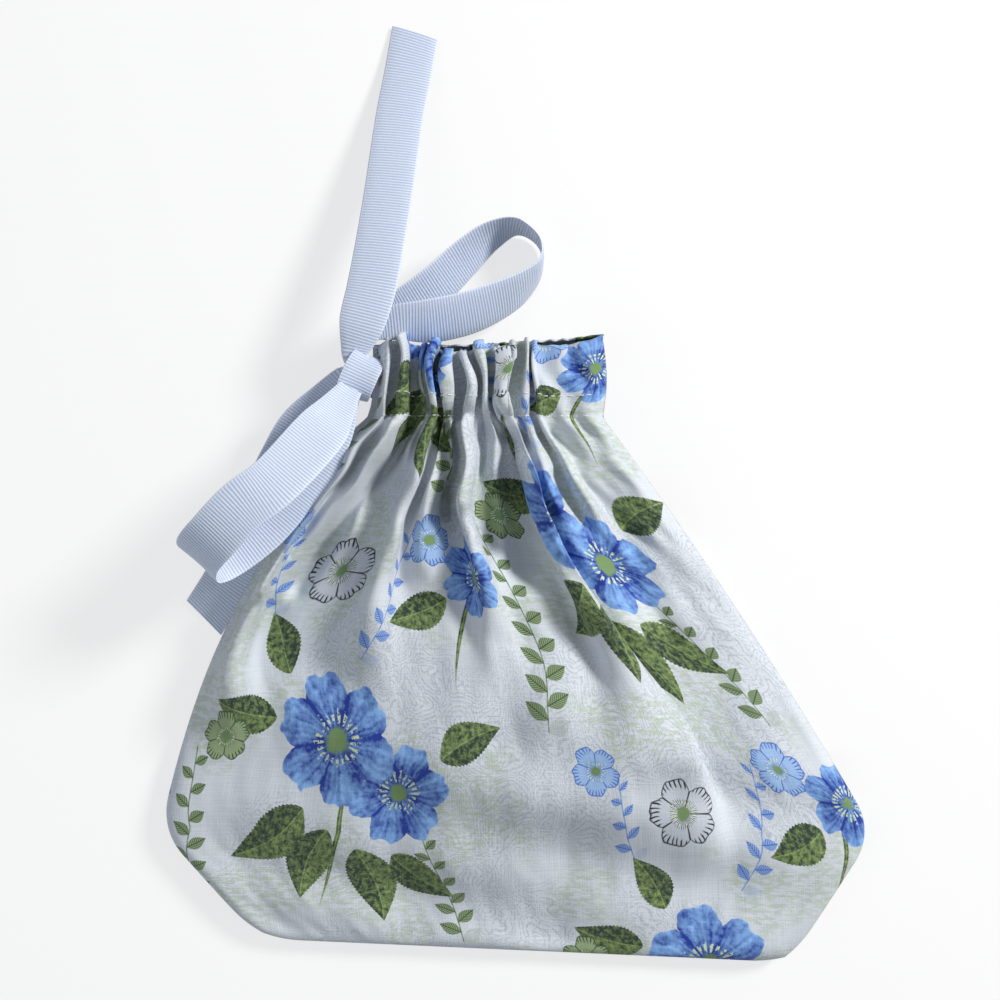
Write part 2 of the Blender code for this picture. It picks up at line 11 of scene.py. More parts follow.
import bmesh
import bpy
import numpy as np
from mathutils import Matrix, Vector


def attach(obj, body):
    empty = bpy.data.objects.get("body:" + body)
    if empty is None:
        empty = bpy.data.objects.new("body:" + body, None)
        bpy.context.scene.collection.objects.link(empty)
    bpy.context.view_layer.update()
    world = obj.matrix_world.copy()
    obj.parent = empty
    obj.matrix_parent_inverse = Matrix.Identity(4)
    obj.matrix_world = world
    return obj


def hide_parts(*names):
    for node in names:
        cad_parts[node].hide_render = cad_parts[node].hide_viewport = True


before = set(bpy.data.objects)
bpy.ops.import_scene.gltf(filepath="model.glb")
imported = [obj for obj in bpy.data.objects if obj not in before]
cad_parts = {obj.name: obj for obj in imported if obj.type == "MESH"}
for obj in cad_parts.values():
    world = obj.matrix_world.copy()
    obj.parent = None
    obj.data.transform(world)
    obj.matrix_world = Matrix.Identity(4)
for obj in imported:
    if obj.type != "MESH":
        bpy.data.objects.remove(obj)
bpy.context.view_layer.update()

# The flat cut of the bag, in metres
PANEL_WIDTH = 0.240
PANEL_HEIGHT = 0.212
CASING_HEIGHT = 0.0275
COTTON = 0.0007
LINING_COTTON = 0.0005
SEAM_GAP = 0.0008

# The outline of the bag as it lies
BAG_WIDTH = 0.2336
BAG_LENGTH = 0.2090
NECK_WIDTH = 0.0750
NECK_SHIFT = -0.0090
BOTTOM_SLANT = 0.0080
LEFT_CORNER_ACROSS = 0.033
LEFT_CORNER_UP = 0.037
RIGHT_CORNER_ACROSS = 0.028
RIGHT_CORNER_UP = 0.044
CORNER_LENGTH = 0.045
LEFT_BELLY = 0.012
RIGHT_BELLY = 0.003
HIP_ROUND = 0.012
RIM_DIP = 0.0035
FRONT_RIM_STEP = 0.0035

# Heights above the floor
BOTTOM_SEAM_HEIGHT = 0.0038
SIDE_SEAM_HEIGHT = 0.0045
NECK_SEAM_HEIGHT = 0.0140
SIDE_RISE = 0.0042
NECK_RISE = 0.0068
FRONT_PUFF = 0.0120
BACK_NECK_LIFT = 0.0066
OPEN_SEAM = 0.0020

# Gathers: how high the folds may stand, and how steep a wall may be in radians
FRONT_RUFFLE_DEPTH = 0.0078
FRONT_FOLD_DEPTH = 0.0115
BACK_RUFFLE_DEPTH = 0.0062
LINING_RUFFLE_DEPTH = 0.0027
FRONT_SINK = 0.0026
STITCH_PINCH = 0.52
SEAM_ACROSS = 0.945
RIM_SCALLOP = 0.0016
CASING_DOME = 0.18
SMALL_WAVE_BODY = 0.00014
SMALL_WAVE_NECK = 0.00085
BROAD_WAVE = 0.0012
STITCH_PULL = 0.0007
SEAM_GROOVE = 0.0006
CASING_BULGE = 0.0012
TOE_ROUNDING = 0.0024
SHOULDER_UP = 0.1765
SHOULDER_BULGE = 0.0036
FRONT_STEEPEST = 1.85
BACK_STEEPEST = 1.45

# The lining lies inside the cotton
LINING_INSET = 0.0035
LINING_NECK_INSET = 0.0045
LINING_RISE = 0.0026
LINING_NECK_RISE = 0.0035
LINING_FLOOR = 0.0015
LINING_NECK_FLOOR = 0.0096
LINING_PUFF_GAP = 0.0015
RIM_TURN = 0.0020

# The ribbon and its knot
RIBBON_WIDTH = 0.0160
RIBBON_THICKNESS = 0.0005
RIB_PITCH = 0.00098
RIB_DEPTH = 0.00011
KNOT_CENTRE = (-0.0495, 0.0893, 0.0230)
KNOT_RADII = (0.0074, 0.0052)
KNOT_TURN = math.radians(-16)

RIM = BAG_LENGTH / 2
STITCH_LINE = RIM - CASING_HEIGHT
STITCH_UP = PANEL_HEIGHT - CASING_HEIGHT
NECK_LEFT = NECK_SHIFT - NECK_WIDTH / 2
NECK_RIGHT = NECK_SHIFT + NECK_WIDTH / 2
FINE_COLUMNS = 1441

# A fold of a sheet: where its crest lies across the cut at the rim, at the casing's foot and at its
# own foot, how far below the casing it dies out, the share of the cut that it takes in at the
# casing and at its foot, and its strength. A crest rises and falls, and a step only falls, to the
# right.
Fold = namedtuple("Fold", "kind rim top foot reach top_share foot_share strength")

FRONT_FOLDS = [
    Fold("crest", 0.058, 0.062, 0.080, 0.125, 0.112, 0.15, 1.00),
    Fold("crest", 0.160, 0.167, 0.185, 0.060, 0.098, 0.11, 0.95),
    Fold("crest", 0.242, 0.237, 0.255, 0.034, 0.042, 0.05, 0.85),
    Fold("crest", 0.300, 0.297, 0.300, 0.100, 0.079, 0.15, 1.05),
    Fold("crest", 0.388, 0.394, 0.390, 0.070, 0.116, 0.10, 1.05),
    Fold("crest", 0.510, 0.511, 0.490, 0.100, 0.118, 0.10, 1.10),
    Fold("crest", 0.600, 0.604, 0.575, 0.046, 0.068, 0.08, 0.90),
    Fold("crest", 0.716, 0.722, 0.690, 0.115, 0.168, 0.18, 1.15),
    Fold("crest", 0.838, 0.832, 0.812, 0.040, 0.052, 0.07, 0.85),
    Fold("crest", 0.882, 0.881, 0.868, 0.060, 0.046, 0.08, 0.90),
    Fold("step", 0.760, 0.760, 0.790, 0.165, 0.060, 0.070, 1.60),
]
BACK_FOLDS = [
    Fold("crest", 0.070, 0.080, 0.150, 0.060, 0.160, 0.20, 0.9),
    Fold("crest", 0.250, 0.240, 0.270, 0.045, 0.160, 0.18, 0.9),
    Fold("crest", 0.400, 0.405, 0.410, 0.060, 0.170, 0.20, 1.0),
    Fold("crest", 0.585, 0.575, 0.580, 0.045, 0.170, 0.18, 0.9),
    Fold("crest", 0.735, 0.740, 0.730, 0.060, 0.160, 0.20, 0.9),
    Fold("crest", 0.890, 0.890, 0.850, 0.045, 0.140, 0.16, 0.8),
]
LINING_FOLDS = [Fold("crest", *[(k + 0.5) / 13] * 3, 0.050 + 0.018 * (k % 3), 1 / 13, 1 / 13,
                     0.8 + 0.1 * (k % 4)) for k in range(13)]

# A soft crease of the front: its two ends in plan, its half width at each, and how far it rises
Crease = namedtuple("Crease", "start end start_width end_width rise")

CREASES = [
    Crease((-0.039, 0.074), (-0.080, 0.022), 0.0028, 0.0040, 0.0062),
    Crease((-0.0335, 0.073), (-0.072, 0.022), 0.0018, 0.0034, -0.0058),
    Crease((-0.028, 0.072), (-0.034, 0.030), 0.0030, 0.0060, 0.0030),
    Crease((-0.0225, 0.074), (-0.0235, 0.046), 0.0016, 0.0026, -0.0060),
    Crease((-0.0168, 0.074), (-0.0172, 0.050), 0.0022, 0.0034, 0.0060),
    Crease((-0.0100, 0.074), (-0.0080, 0.036), 0.0024, 0.0036, -0.0070),
    Crease((-0.001, 0.068), (0.003, 0.030), 0.0042, 0.0066, -0.0105),
    Crease((0.003, 0.064), (0.040, 0.008), 0.0036, 0.0095, 0.0046),
    Crease((0.012, 0.058), (0.050, 0.004), 0.0022, 0.0055, -0.0042),
    Crease((-0.004, 0.005), (-0.002, -0.024), 0.0050, 0.0080, -0.0022),
    Crease((-0.060, 0.010), (-0.075, -0.040), 0.0080, 0.0140, -0.0014),
    Crease((-0.030, -0.020), (-0.020, -0.070), 0.0100, 0.0180, 0.0014),
    Crease((0.070, 0.010), (0.090, -0.040), 0.0060, 0.0120, 0.0010),
    Crease((0.020, 0.072), (0.056, 0.032), 0.0026, 0.0060, 0.0014),
    Crease((0.012, 0.073), (0.040, 0.036), 0.0020, 0.0040, -0.0014),
]

# How far the front's rim lies forward of its even line, in metres, across the cut
RIM_PLACES = (0.0, 0.04, 0.09, 0.12, 0.17, 0.22, 0.26, 0.30, 0.34, 0.39, 0.45, 0.51, 0.57, 0.61,
              0.65, 0.70, 0.74, 0.79, 0.84, 0.90, 0.95, 1.0)
RIM_FORWARD = (0.0, 0.0050, 0.0066, 0.0046, 0.0056, 0.0030, 0.0036, 0.0042, 0.0010, 0.0004,
               0.0012, -0.0006, 0.0012, 0.0036, 0.0030, -0.0004, 0.0022, 0.0036, 0.0036,
               0.0020, 0.0010, 0.0)

# A point of a ribbon's route: the middle of the ribbon, x and y from the knot and z from the floor,
# where its width points to (a plan heading and a lean above level, in degrees), and how much of
# its width shows there
Point = namedtuple("Point", "x y z heading lean width")

TAIL_UP = [
    Point(-0.0018, 0.0081, 0.0252, -20, 0, 0.56),
    Point(0.0005, 0.0167, 0.0270, -14, 4, 0.91),
    Point(0.0035, 0.0287, 0.0255, -9, 6, 1),
    Point(0.0058, 0.0437, 0.0215, -8, 6, 1),
    Point(0.0082, 0.0627, 0.0155, -7, 4, 1),
    Point(0.0109, 0.0877, 0.0075, -6, 2, 1),
    Point(0.0134, 0.1036, 0.0035, -6, 1, 1),
    Point(0.0157, 0.1184, 0.0012, -6, 0, 1),
]
LOOP_RIGHT = [
    Point(-0.0025, 0.0097, 0.0172, 172, 5, 0.5),
    Point(0.0005, 0.0169, 0.0155, 158, 18, 0.57),
    Point(0.0120, 0.0227, 0.0140, 138, 36, 0.91),
    Point(0.0233, 0.0312, 0.0130, 137, 45, 1),
    Point(0.0329, 0.0407, 0.0115, 135, 52, 1),
    Point(0.0417, 0.0482, 0.0100, 130, 65, 1),
    Point(0.0505, 0.0512, 0.0090, 125, 80, 1),
    Point(0.0577, 0.0459, 0.0088, 120, 86, 1),
    Point(0.0577, 0.0371, 0.0095, 115, 80, 1),
    Point(0.0519, 0.0304, 0.0125, 112, 62, 1),
    Point(0.0427, 0.0250, 0.0155, 110, 48, 1),
    Point(0.0330, 0.0210, 0.0180, 108, 40, 1),
    Point(0.0220, 0.0185, 0.0200, 110, 36, 0.97),
    Point(0.0115, 0.0179, 0.0212, 122, 25, 0.75),
    Point(0.0020, 0.0159, 0.0218, 152, 10, 0.56),
    Point(-0.0023, 0.0093, 0.0212, 172, 2, 0.5),
]
LOOP_LEFT = [
    Point(-0.0033, -0.0046, 0.0282, -40, 0, 0.5),
    Point(-0.0065, -0.0111, 0.0345, -42, 0, 0.75),
    Point(-0.0105, -0.0184, 0.0420, -42, 0, 1),
    Point(-0.0223, -0.0332, 0.0510, -42, 0, 1),
    Point(-0.0323, -0.0412, 0.0530, -42, 0, 1),
    Point(-0.0409, -0.0498, 0.0510, -42, 0, 1),
    Point(-0.0470, -0.0558, 0.0450, -42, 0, 1),
    Point(-0.0475, -0.0588, 0.0370, -42, 0, 1),
    Point(-0.0420, -0.0563, 0.0305, -42, 0, 1),
    Point(-0.0314, -0.0480, 0.0270, -42, 0, 1),
    Point(-0.0223, -0.0375, 0.0260, -42, 0, 1),
    Point(-0.0140, -0.0263, 0.0255, -42, 0, 1),
    Point(-0.0080, -0.0163, 0.0250, -40, 0, 0.75),
    Point(-0.0043, -0.0063, 0.0240, -38, 0, 0.5),
]
TAIL_BACK = [
    Point(-0.0067, -0.0005, 0.0200, -55, 0, 0.5),
    Point(-0.0130, -0.0078, 0.0165, -42, -10, 0.81),
    Point(-0.0204, -0.0154, 0.0125, -35, -20, 1),
    Point(-0.0270, -0.0253, 0.0090, -30, -20, 1),
    Point(-0.0365, -0.0433, 0.0045, -28, -8, 1),
    Point(-0.0455, -0.0623, 0.0014, -30, 0, 1),
    Point(-0.0555, -0.0788, 0.0010, -35, 0, 1),
]
TAIL_UP_CUT = -0.0013
TAIL_BACK_CUT = 0.0020


# The camera

def place_camera():
    """The photograph's camera: straight above, 420 mm over the floor."""
    bpy.ops.object.camera_add(location=(-0.00517, 0.0502, 0.420), rotation=(0.0, 0.0, 0.0))
    camera = bpy.context.object
    camera.name = "camera"
    camera.data.sensor_width = 36.0
    camera.data.lens = 36.0 * 1.242
    camera.data.clip_start = 0.01
    bpy.context.scene.camera = camera


# Materials: node trees, the print's groups, and the finishes

class Wiring:
    """A node tree that is being wired: each call adds a node and gives back what it puts out."""

    def __init__(self, tree):
        self.tree = tree

    def add(self, kind, *values, **settings):
        node = self.tree.nodes.new(kind)
        for key, value in settings.items():
            setattr(node, key, value)
        for socket, value in zip(node.inputs, values):
            self.feed(socket, value)
        return node

    def feed(self, socket, value):
        if isinstance(value, bpy.types.NodeSocket):
            self.tree.links.new(value, socket)
        elif value is not None:
            socket.default_value = value

    def math(self, operation, *values, clamp=False):
        return self.add("ShaderNodeMath", *values, operation=operation, use_clamp=clamp).outputs[0]

    def vector(self, operation, *values):
        return self.add("ShaderNodeVectorMath", *values, operation=operation).outputs[0]

    def length(self, vector):
        return self.add("ShaderNodeVectorMath", vector, operation="LENGTH").outputs["Value"]

    def split(self, vector):
        return self.add("ShaderNodeSeparateXYZ", vector).outputs[:2]

    def join(self, x, y, z=0.0):
        return self.add("ShaderNodeCombineXYZ", x, y, z).outputs[0]

    def mask(self, value, soft):
        """0 to 1 as value rises through 0, over the given width."""
        return self.math("MULTIPLY_ADD", value, 1.0 / soft, 0.5, clamp=True)

    def mix(self, share, first, second, blend="MIX"):
        node = self.tree.nodes.new("ShaderNodeMix")
        node.data_type = "RGBA"
        node.blend_type = blend
        self.feed(node.inputs["Factor"], share)
        self.feed(node.inputs[6], first)
        self.feed(node.inputs[7], second)
        return node.outputs[2]

    def noise(self, vector, scale, detail=2.0, roughness=0.5):
        node = self.add("ShaderNodeTexNoise", noise_dimensions="2D")
        self.feed(node.inputs["Vector"], vector)
        node.inputs["Scale"].default_value = scale
        node.inputs["Detail"].default_value = detail
        node.inputs["Roughness"].default_value = roughness
        return node.outputs[0]

    def use(self, group, **values):
        node = self.add("ShaderNodeGroup", node_tree=bpy.data.node_groups[group])
        for key, value in values.items():
            self.feed(node.inputs[key.replace("_", " ")], value)
        return node.outputs


def colour(red, green, blue):
    """A colour as it looks on a screen, 0 to 255, for a shader."""
    def linear(value):
        value /= 255.0
        return value / 12.92 if value <= 0.04045 else ((value + 0.055) / 1.055) ** 2.4
    return (linear(red), linear(green), linear(blue), 1.0)


def new_group(name, takes, gives):
    """A shader node group with named inputs and outputs: its wiring, inputs and output node."""
    tree = bpy.data.node_groups.new(name, "ShaderNodeTree")
    for label, kind in takes.items():
        tree.interface.new_socket(label, in_out="INPUT", socket_type="NodeSocket" + kind)
    for label, kind in gives.items():
        tree.interface.new_socket(label, in_out="OUTPUT", socket_type="NodeSocket" + kind)
    wiring = Wiring(tree)
    return wiring, wiring.add("NodeGroupInput").outputs, wiring.add("NodeGroupOutput").inputs


def finish_group(wiring, outputs, **values):
    for key, value in values.items():
        wiring.feed(outputs[key.replace("_", " ")], value)


def build_repeat_group():
    """A place seen from the nearest copy of a motif, in a half-drop repeat."""
    w, given, out = new_group("Half-drop repeat",
                              {"X": "Float", "Y": "Float", "Centre X": "Float",
                               "Centre Y": "Float", "Turn": "Float", "Repeat X": "Float",
                               "Repeat Y": "Float"}, {"X": "Float", "Y": "Float"})
    x = w.math("SUBTRACT", given["X"], given["Centre X"])
    y = w.math("SUBTRACT", given["Y"], given["Centre Y"])
    wide, high = given["Repeat X"], given["Repeat Y"]
    column = w.math("ROUND", w.math("DIVIDE", x, wide))
    x = w.math("SUBTRACT", x, w.math("MULTIPLY", column, wide))
    y = w.math("ADD", y, w.math("MULTIPLY", w.math("MULTIPLY", column, high), 0.5))
    row = w.math("ROUND", w.math("DIVIDE", y, high))
    y = w.math("SUBTRACT", y, w.math("MULTIPLY", row, high))
    cosine, sine = w.math("COSINE", given["Turn"]), w.math("SINE", given["Turn"])
    turned_x = w.math("MULTIPLY_ADD", y, sine, w.math("MULTIPLY", x, cosine))
    turned_y = w.math("SUBTRACT", w.math("MULTIPLY", y, cosine), w.math("MULTIPLY", x, sine))
    finish_group(w, out, X=turned_x, Y=turned_y)


def build_leaf_group():
    """A veined leaf along +X from its stalk, and its lights and darks."""
    w, given, out = new_group("Leaf", {"X": "Float", "Y": "Float", "Mottle": "Float",
                                       "Length": "Float", "Half width": "Float", "Bend": "Float"},
                              {"Mask": "Float", "Shade": "Float"})
    x = given["X"]
    along = w.math("DIVIDE", x, given["Length"], clamp=True)
    arch = w.math("MULTIPLY", w.math("MULTIPLY", along, w.math("SUBTRACT", 1.0, along)),
                  given["Bend"])
    y = w.math("SUBTRACT", given["Y"], arch)
    aside = w.math("ABSOLUTE", y)
    swell = w.math("SINE", w.math("MULTIPLY", w.math("POWER", along, 0.72), math.pi))
    teeth = w.math("MULTIPLY_ADD", w.math("SINE", w.math("MULTIPLY", x, 5.2)), 0.035, 1.0)
    half = w.math("MULTIPLY", w.math("MULTIPLY", swell, given["Half width"]), teeth)
    mask = w.mask(w.math("SUBTRACT", w.math("SUBTRACT", half, aside), 0.12), 0.25)
    slanted = w.math("MULTIPLY_ADD", aside, -0.8, x)
    vein = w.mask(w.math("SUBTRACT", 0.17, w.math("PINGPONG", slanted, 1.1)), 0.22)
    rib = w.mask(w.math("SUBTRACT", 0.22, aside), 0.2)
    shade = w.math("MULTIPLY_ADD", w.mask(y, 1.0), 0.26, -0.06)
    shade = w.math("ADD", shade, w.math("MULTIPLY_ADD", given["Mottle"], 2.2, -0.88))
    lines = w.math("MAXIMUM", w.math("MULTIPLY", vein, 0.16), w.math("MULTIPLY", rib, 0.50))
    finish_group(w, out, Mask=mask, Shade=w.math("ADD", shade, lines, clamp=True))


def build_blossom_group():
    """An open flower of rounded petals: where it is, its lights and darks, and its heart."""
    w, given, out = new_group("Blossom", {"X": "Float", "Y": "Float", "Mottle": "Float",
                                          "Blotch": "Float", "Radius": "Float", "Petals": "Float"},
                              {"Mask": "Float", "Shade": "Float", "Lines": "Float",
                               "Heart": "Float", "Stamens": "Float"})
    x, y = given["X"], given["Y"]
    reach = w.math("SQRT", w.math("MULTIPLY_ADD", x, x, w.math("MULTIPLY", y, y)))
    reach = w.math("DIVIDE", reach, given["Radius"])
    reach = w.math("ADD", reach, w.math("MULTIPLY_ADD", given["Blotch"], 0.24, -0.12))
    turn = w.math("DIVIDE", w.math("ARCTAN2", y, x), 2 * math.pi)
    beside = w.math("PINGPONG", w.math("MULTIPLY", turn, given["Petals"]), 0.5)
    beside = w.math("MULTIPLY", beside, 2.0)
    notch = w.math("MULTIPLY", w.math("POWER", beside, 3.5), 0.24)
    frill = w.math("MULTIPLY", w.math("COSINE", w.math("MULTIPLY", beside, 8.0)), 0.022)
    edge = w.math("SUBTRACT", w.math("SUBTRACT", 0.94, notch), frill)
    mask = w.mask(w.math("SUBTRACT", edge, reach), 0.03)
    fine = w.math("SINE", w.math("MULTIPLY_ADD", given["Blotch"], 9.0,
                                 w.math("MULTIPLY", turn, 2 * math.pi * 41)))
    broad = w.math("SINE", w.math("MULTIPLY_ADD", given["Blotch"], 7.0,
                                  w.math("MULTIPLY", turn, 2 * math.pi * 17)))
    streaks = w.math("MULTIPLY_ADD", fine, 0.10, w.math("MULTIPLY", broad, 0.12))
    shade = w.math("MULTIPLY_ADD", w.math("SUBTRACT", given["Blotch"], 0.5), 1.1,
                   w.math("MULTIPLY_ADD", reach, 0.72, 0.04))
    shade = w.math("SUBTRACT", shade, w.math("MULTIPLY", w.math("POWER", beside, 5.0), 0.55))
    shade = w.math("ADD", shade, streaks)
    shade = w.math("ADD", shade, w.math("MULTIPLY_ADD", given["Mottle"], 1.0, -0.46), clamp=True)
    rim = w.mask(w.math("SUBTRACT", 0.045, w.math("ABSOLUTE", w.math("SUBTRACT", edge, reach))), 0.04)
    hatching = w.math("MULTIPLY", w.mask(w.math("SUBTRACT", fine, 0.50), 0.5),
                      w.mask(w.math("SUBTRACT", w.math("ABSOLUTE", w.math("SUBTRACT", reach, 0.55)),
                                    0.16), 0.10))
    between = w.mask(w.math("SUBTRACT", beside, 0.94), 0.06)
    lines = w.math("MAXIMUM", w.math("MAXIMUM", rim, between), hatching)
    heart = w.mask(w.math("SUBTRACT", 0.17, reach), 0.06)
    dots = w.math("PINGPONG", w.math("MULTIPLY", turn, 21.0), 0.5)
    ring = w.math("ABSOLUTE", w.math("SUBTRACT", reach,
                                     w.math("MULTIPLY_ADD", given["Mottle"], 0.44, 0.08)))
    dots = w.math("MULTIPLY", w.mask(w.math("SUBTRACT", dots, 0.26), 0.12),
                  w.mask(w.math("SUBTRACT", 0.048, ring), 0.03))
    finish_group(w, out, Mask=mask, Shade=shade, Lines=w.math("SUBTRACT", 0.95, lines),
                 Heart=heart, Stamens=dots)


def build_sprig_group():
    """A stalk along +X with pairs of small leaves, and their lights and darks."""
    w, given, out = new_group("Sprig", {"X": "Float", "Y": "Float", "Length": "Float",
                                        "Spacing": "Float", "Leaf": "Float", "Bend": "Float"},
                              {"Mask": "Float", "Shade": "Float"})
    x = given["X"]
    along = w.math("DIVIDE", x, given["Length"])
    bent = w.math("MULTIPLY", w.math("MULTIPLY", along, along), given["Bend"])
    off = w.math("SUBTRACT", given["Y"], bent)
    aside = w.math("ABSOLUTE", off)
    inside = w.math("MULTIPLY", w.mask(along, 0.02), w.mask(w.math("SUBTRACT", 1.0, along), 0.02))
    stalk = w.math("MULTIPLY", w.mask(w.math("SUBTRACT", 0.26, aside), 0.25), inside)
    turned = w.math("MULTIPLY_ADD", w.math("GREATER_THAN", off, 0.0), 0.5, 0.35)
    moved = w.math("MULTIPLY_ADD", turned, given["Spacing"], x)
    here = w.math("FLOORED_MODULO", moved, given["Spacing"])
    here = w.math("MULTIPLY_ADD", given["Spacing"], -0.35, here)
    size = w.math("MULTIPLY", given["Leaf"], w.math("MULTIPLY_ADD", along, -0.45, 1.0))
    lean = math.radians(58)
    out_along = w.math("MULTIPLY_ADD", here, math.cos(lean),
                       w.math("MULTIPLY", aside, math.sin(lean)))
    out_aside = w.math("ABSOLUTE", w.math("MULTIPLY_ADD", here, -math.sin(lean),
                                          w.math("MULTIPLY", aside, math.cos(lean))))
    part = w.math("DIVIDE", out_along, size, clamp=True)
    swell = w.math("SINE", w.math("MULTIPLY", w.math("POWER", part, 0.85), math.pi))
    half = w.math("MULTIPLY", w.math("MULTIPLY", swell, size), 0.30)
    leaf = w.mask(w.math("SUBTRACT", w.math("SUBTRACT", half, out_aside), 0.10), 0.22)
    root = w.math("DIVIDE", w.math("SUBTRACT", x, here), given["Length"])
    rooted = w.math("MULTIPLY", w.mask(root, 0.01), w.mask(w.math("SUBTRACT", 0.97, root), 0.01))
    leaf = w.math("MULTIPLY", leaf, rooted)
    lines = w.math("PINGPONG", w.math("MULTIPLY_ADD", out_aside, -0.9, out_along), 0.42)
    lines = w.mask(w.math("SUBTRACT", lines, 0.26), 0.12)
    rib = w.mask(w.math("SUBTRACT", out_aside, 0.16), 0.14)
    shade = w.math("MULTIPLY", w.math("MAXIMUM", lines, 0.25), rib)
    finish_group(w, out, Mask=w.math("MAXIMUM", stalk, leaf), Shade=shade)


def build_ground_group():
    """The cloth's pale ground: soft scrolls and dry brush marks, and where each one shows."""
    w, given, out = new_group("Washed ground", {"Place": "Vector"},
                              {"Scrolls": "Float", "Brush": "Float"})
    bend = w.add("ShaderNodeTexNoise", noise_dimensions="2D")
    w.feed(bend.inputs["Vector"], given["Place"])
    bend.inputs["Scale"].default_value = 0.07
    bend.inputs["Detail"].default_value = 1.0
    offset = w.vector("SCALE", w.vector("SUBTRACT", bend.outputs["Color"], (0.5, 0.5, 0.5)))
    offset.node.inputs["Scale"].default_value = 16.0
    warped = w.vector("ADD", given["Place"], offset)
    cells = w.add("ShaderNodeTexVoronoi", voronoi_dimensions="2D", feature="F1")
    w.feed(cells.inputs["Vector"], warped)
    cells.inputs["Scale"].default_value = 0.075
    rings = w.math("PINGPONG", w.math("MULTIPLY", cells.outputs["Distance"], 9.0), 0.5)
    rings = w.mask(w.math("SUBTRACT", 0.15, rings), 0.12)
    petals = w.add("ShaderNodeTexVoronoi", voronoi_dimensions="2D", feature="DISTANCE_TO_EDGE")
    w.feed(petals.inputs["Vector"], warped)
    petals.inputs["Scale"].default_value = 0.30
    petals = w.mask(w.math("SUBTRACT", 0.055, petals.outputs["Distance"]), 0.05)
    scrolls = w.math("MAXIMUM", rings, w.math("MULTIPLY", petals, 0.8))
    patch = w.mask(w.math("SUBTRACT", w.noise(given["Place"], 0.020, 1.0), 0.47), 0.12)
    wear_and_weave_shade = w.mask(w.math("SUBTRACT", w.noise(given["Place"], 1.1, 1.0), 0.42), 0.25)
    scrolls = w.math("MULTIPLY", w.math("MULTIPLY", scrolls, patch), wear_and_weave_shade)
    stretched = w.vector("MULTIPLY", given["Place"], (0.22, 0.62, 1.0))
    strokes = w.mask(w.math("SUBTRACT", w.noise(stretched, 1.0, 2.0, 0.75), 0.50), 0.16)
    moved = w.vector("ADD", given["Place"], (71.0, 33.0, 0.0))
    wash = w.mask(w.math("SUBTRACT", w.noise(moved, 0.028, 2.0, 0.55), 0.53), 0.10)
    finish_group(w, out, Scrolls=scrolls, Brush=w.math("MULTIPLY", strokes, wash))


def build_weave_group():
    """Plain weave: the height of its threads, and thicker and thinner yarns."""
    w, given, out = new_group("Plain weave", {"Place": "Vector", "Pitch": "Float"},
                              {"Height": "Float", "Yarn": "Float"})
    x, y = w.split(w.vector("DIVIDE", given["Place"],
                            w.join(given["Pitch"], given["Pitch"], 1.0)))
    across = w.math("SINE", w.math("MULTIPLY", x, 2 * math.pi))
    up = w.math("SINE", w.math("MULTIPLY", y, 2 * math.pi))
    height = w.math("MULTIPLY_ADD", w.math("MULTIPLY", across, up), 0.5, 0.5)
    warp = w.noise(w.vector("MULTIPLY", given["Place"], (2.2, 0.06, 1.0)), 1.0, 1.0)
    weft = w.noise(w.vector("MULTIPLY", given["Place"], (0.06, 2.2, 1.0)), 1.0, 1.0)
    yarn = w.math("ADD", w.math("MULTIPLY", warp, 0.5), w.math("MULTIPLY", weft, 0.5))
    finish_group(w, out, Height=height, Yarn=yarn)


# The print's motifs in one repeat, in millimetres: (centre, turn in degrees, sizes, kind)
REPEAT = (124.0, 150.0)
SPRIGS = [
    ((8, 4), 84, 66, 8.6, 9.6, 8, "olive"),
    ((100, 4), 100, 46, 7.6, 8.4, 6, "olive"),
    ((70, 100), 60, 44, 9.0, 7.4, 8, "sky"),
    ((34, 112), 110, 30, 8.0, 6.6, -6, "sky"),
]
LEAVES = [
    ((62, 64), 258, 52, 1.0, 8), ((110, 128), 258, 40, 0.9, -6),
    ((48, 52), 215, 30, 8.0, 9), ((56, 46), 250, 28, 7.6, -8), ((66, 40), 285, 30, 8.0, 8),
    ((78, 38), 320, 26, 7.0, -7), ((36, 80), 165, 24, 6.6, 6), ((44, 94), 120, 22, 6.0, -6),
    ((94, 70), 25, 24, 6.4, 6), ((100, 120), 200, 22, 6.2, 5),
]
BLOSSOMS = [
    ((80, 58), 12, 17.5, 6, "deep"), ((58, 74), 40, 22.0, 6, "deep"),
    ((112, 128), 25, 14.0, 6, "deep"), ((94, 140), 5, 9.5, 5, "sky"),
    ((22, 142), 50, 8.5, 5, "sky"), ((17, 74), 20, 9.0, 5, "olive"),
    ((50, 128), 33, 12.0, 5, "ink"),
]
DARK_AND_LIGHT = {
    "deep": (colour(14, 50, 146), colour(138, 184, 240)),
    "sky": (colour(70, 108, 190), colour(158, 190, 232)),
    "olive": (colour(48, 74, 46), colour(152, 172, 130)),
    "ink": (colour(14, 18, 28), colour(206, 212, 222)),
    "leaf": (colour(26, 46, 36), colour(136, 160, 96)),
}
GROUND = colour(206, 213, 222)
PALE_GROUND = colour(222, 226, 228)
SCROLL_GREY = colour(158, 168, 184)
BRUSH_GREEN = colour(168, 186, 152)
HEART = colour(112, 142, 92)
STAMEN = colour(206, 222, 186)


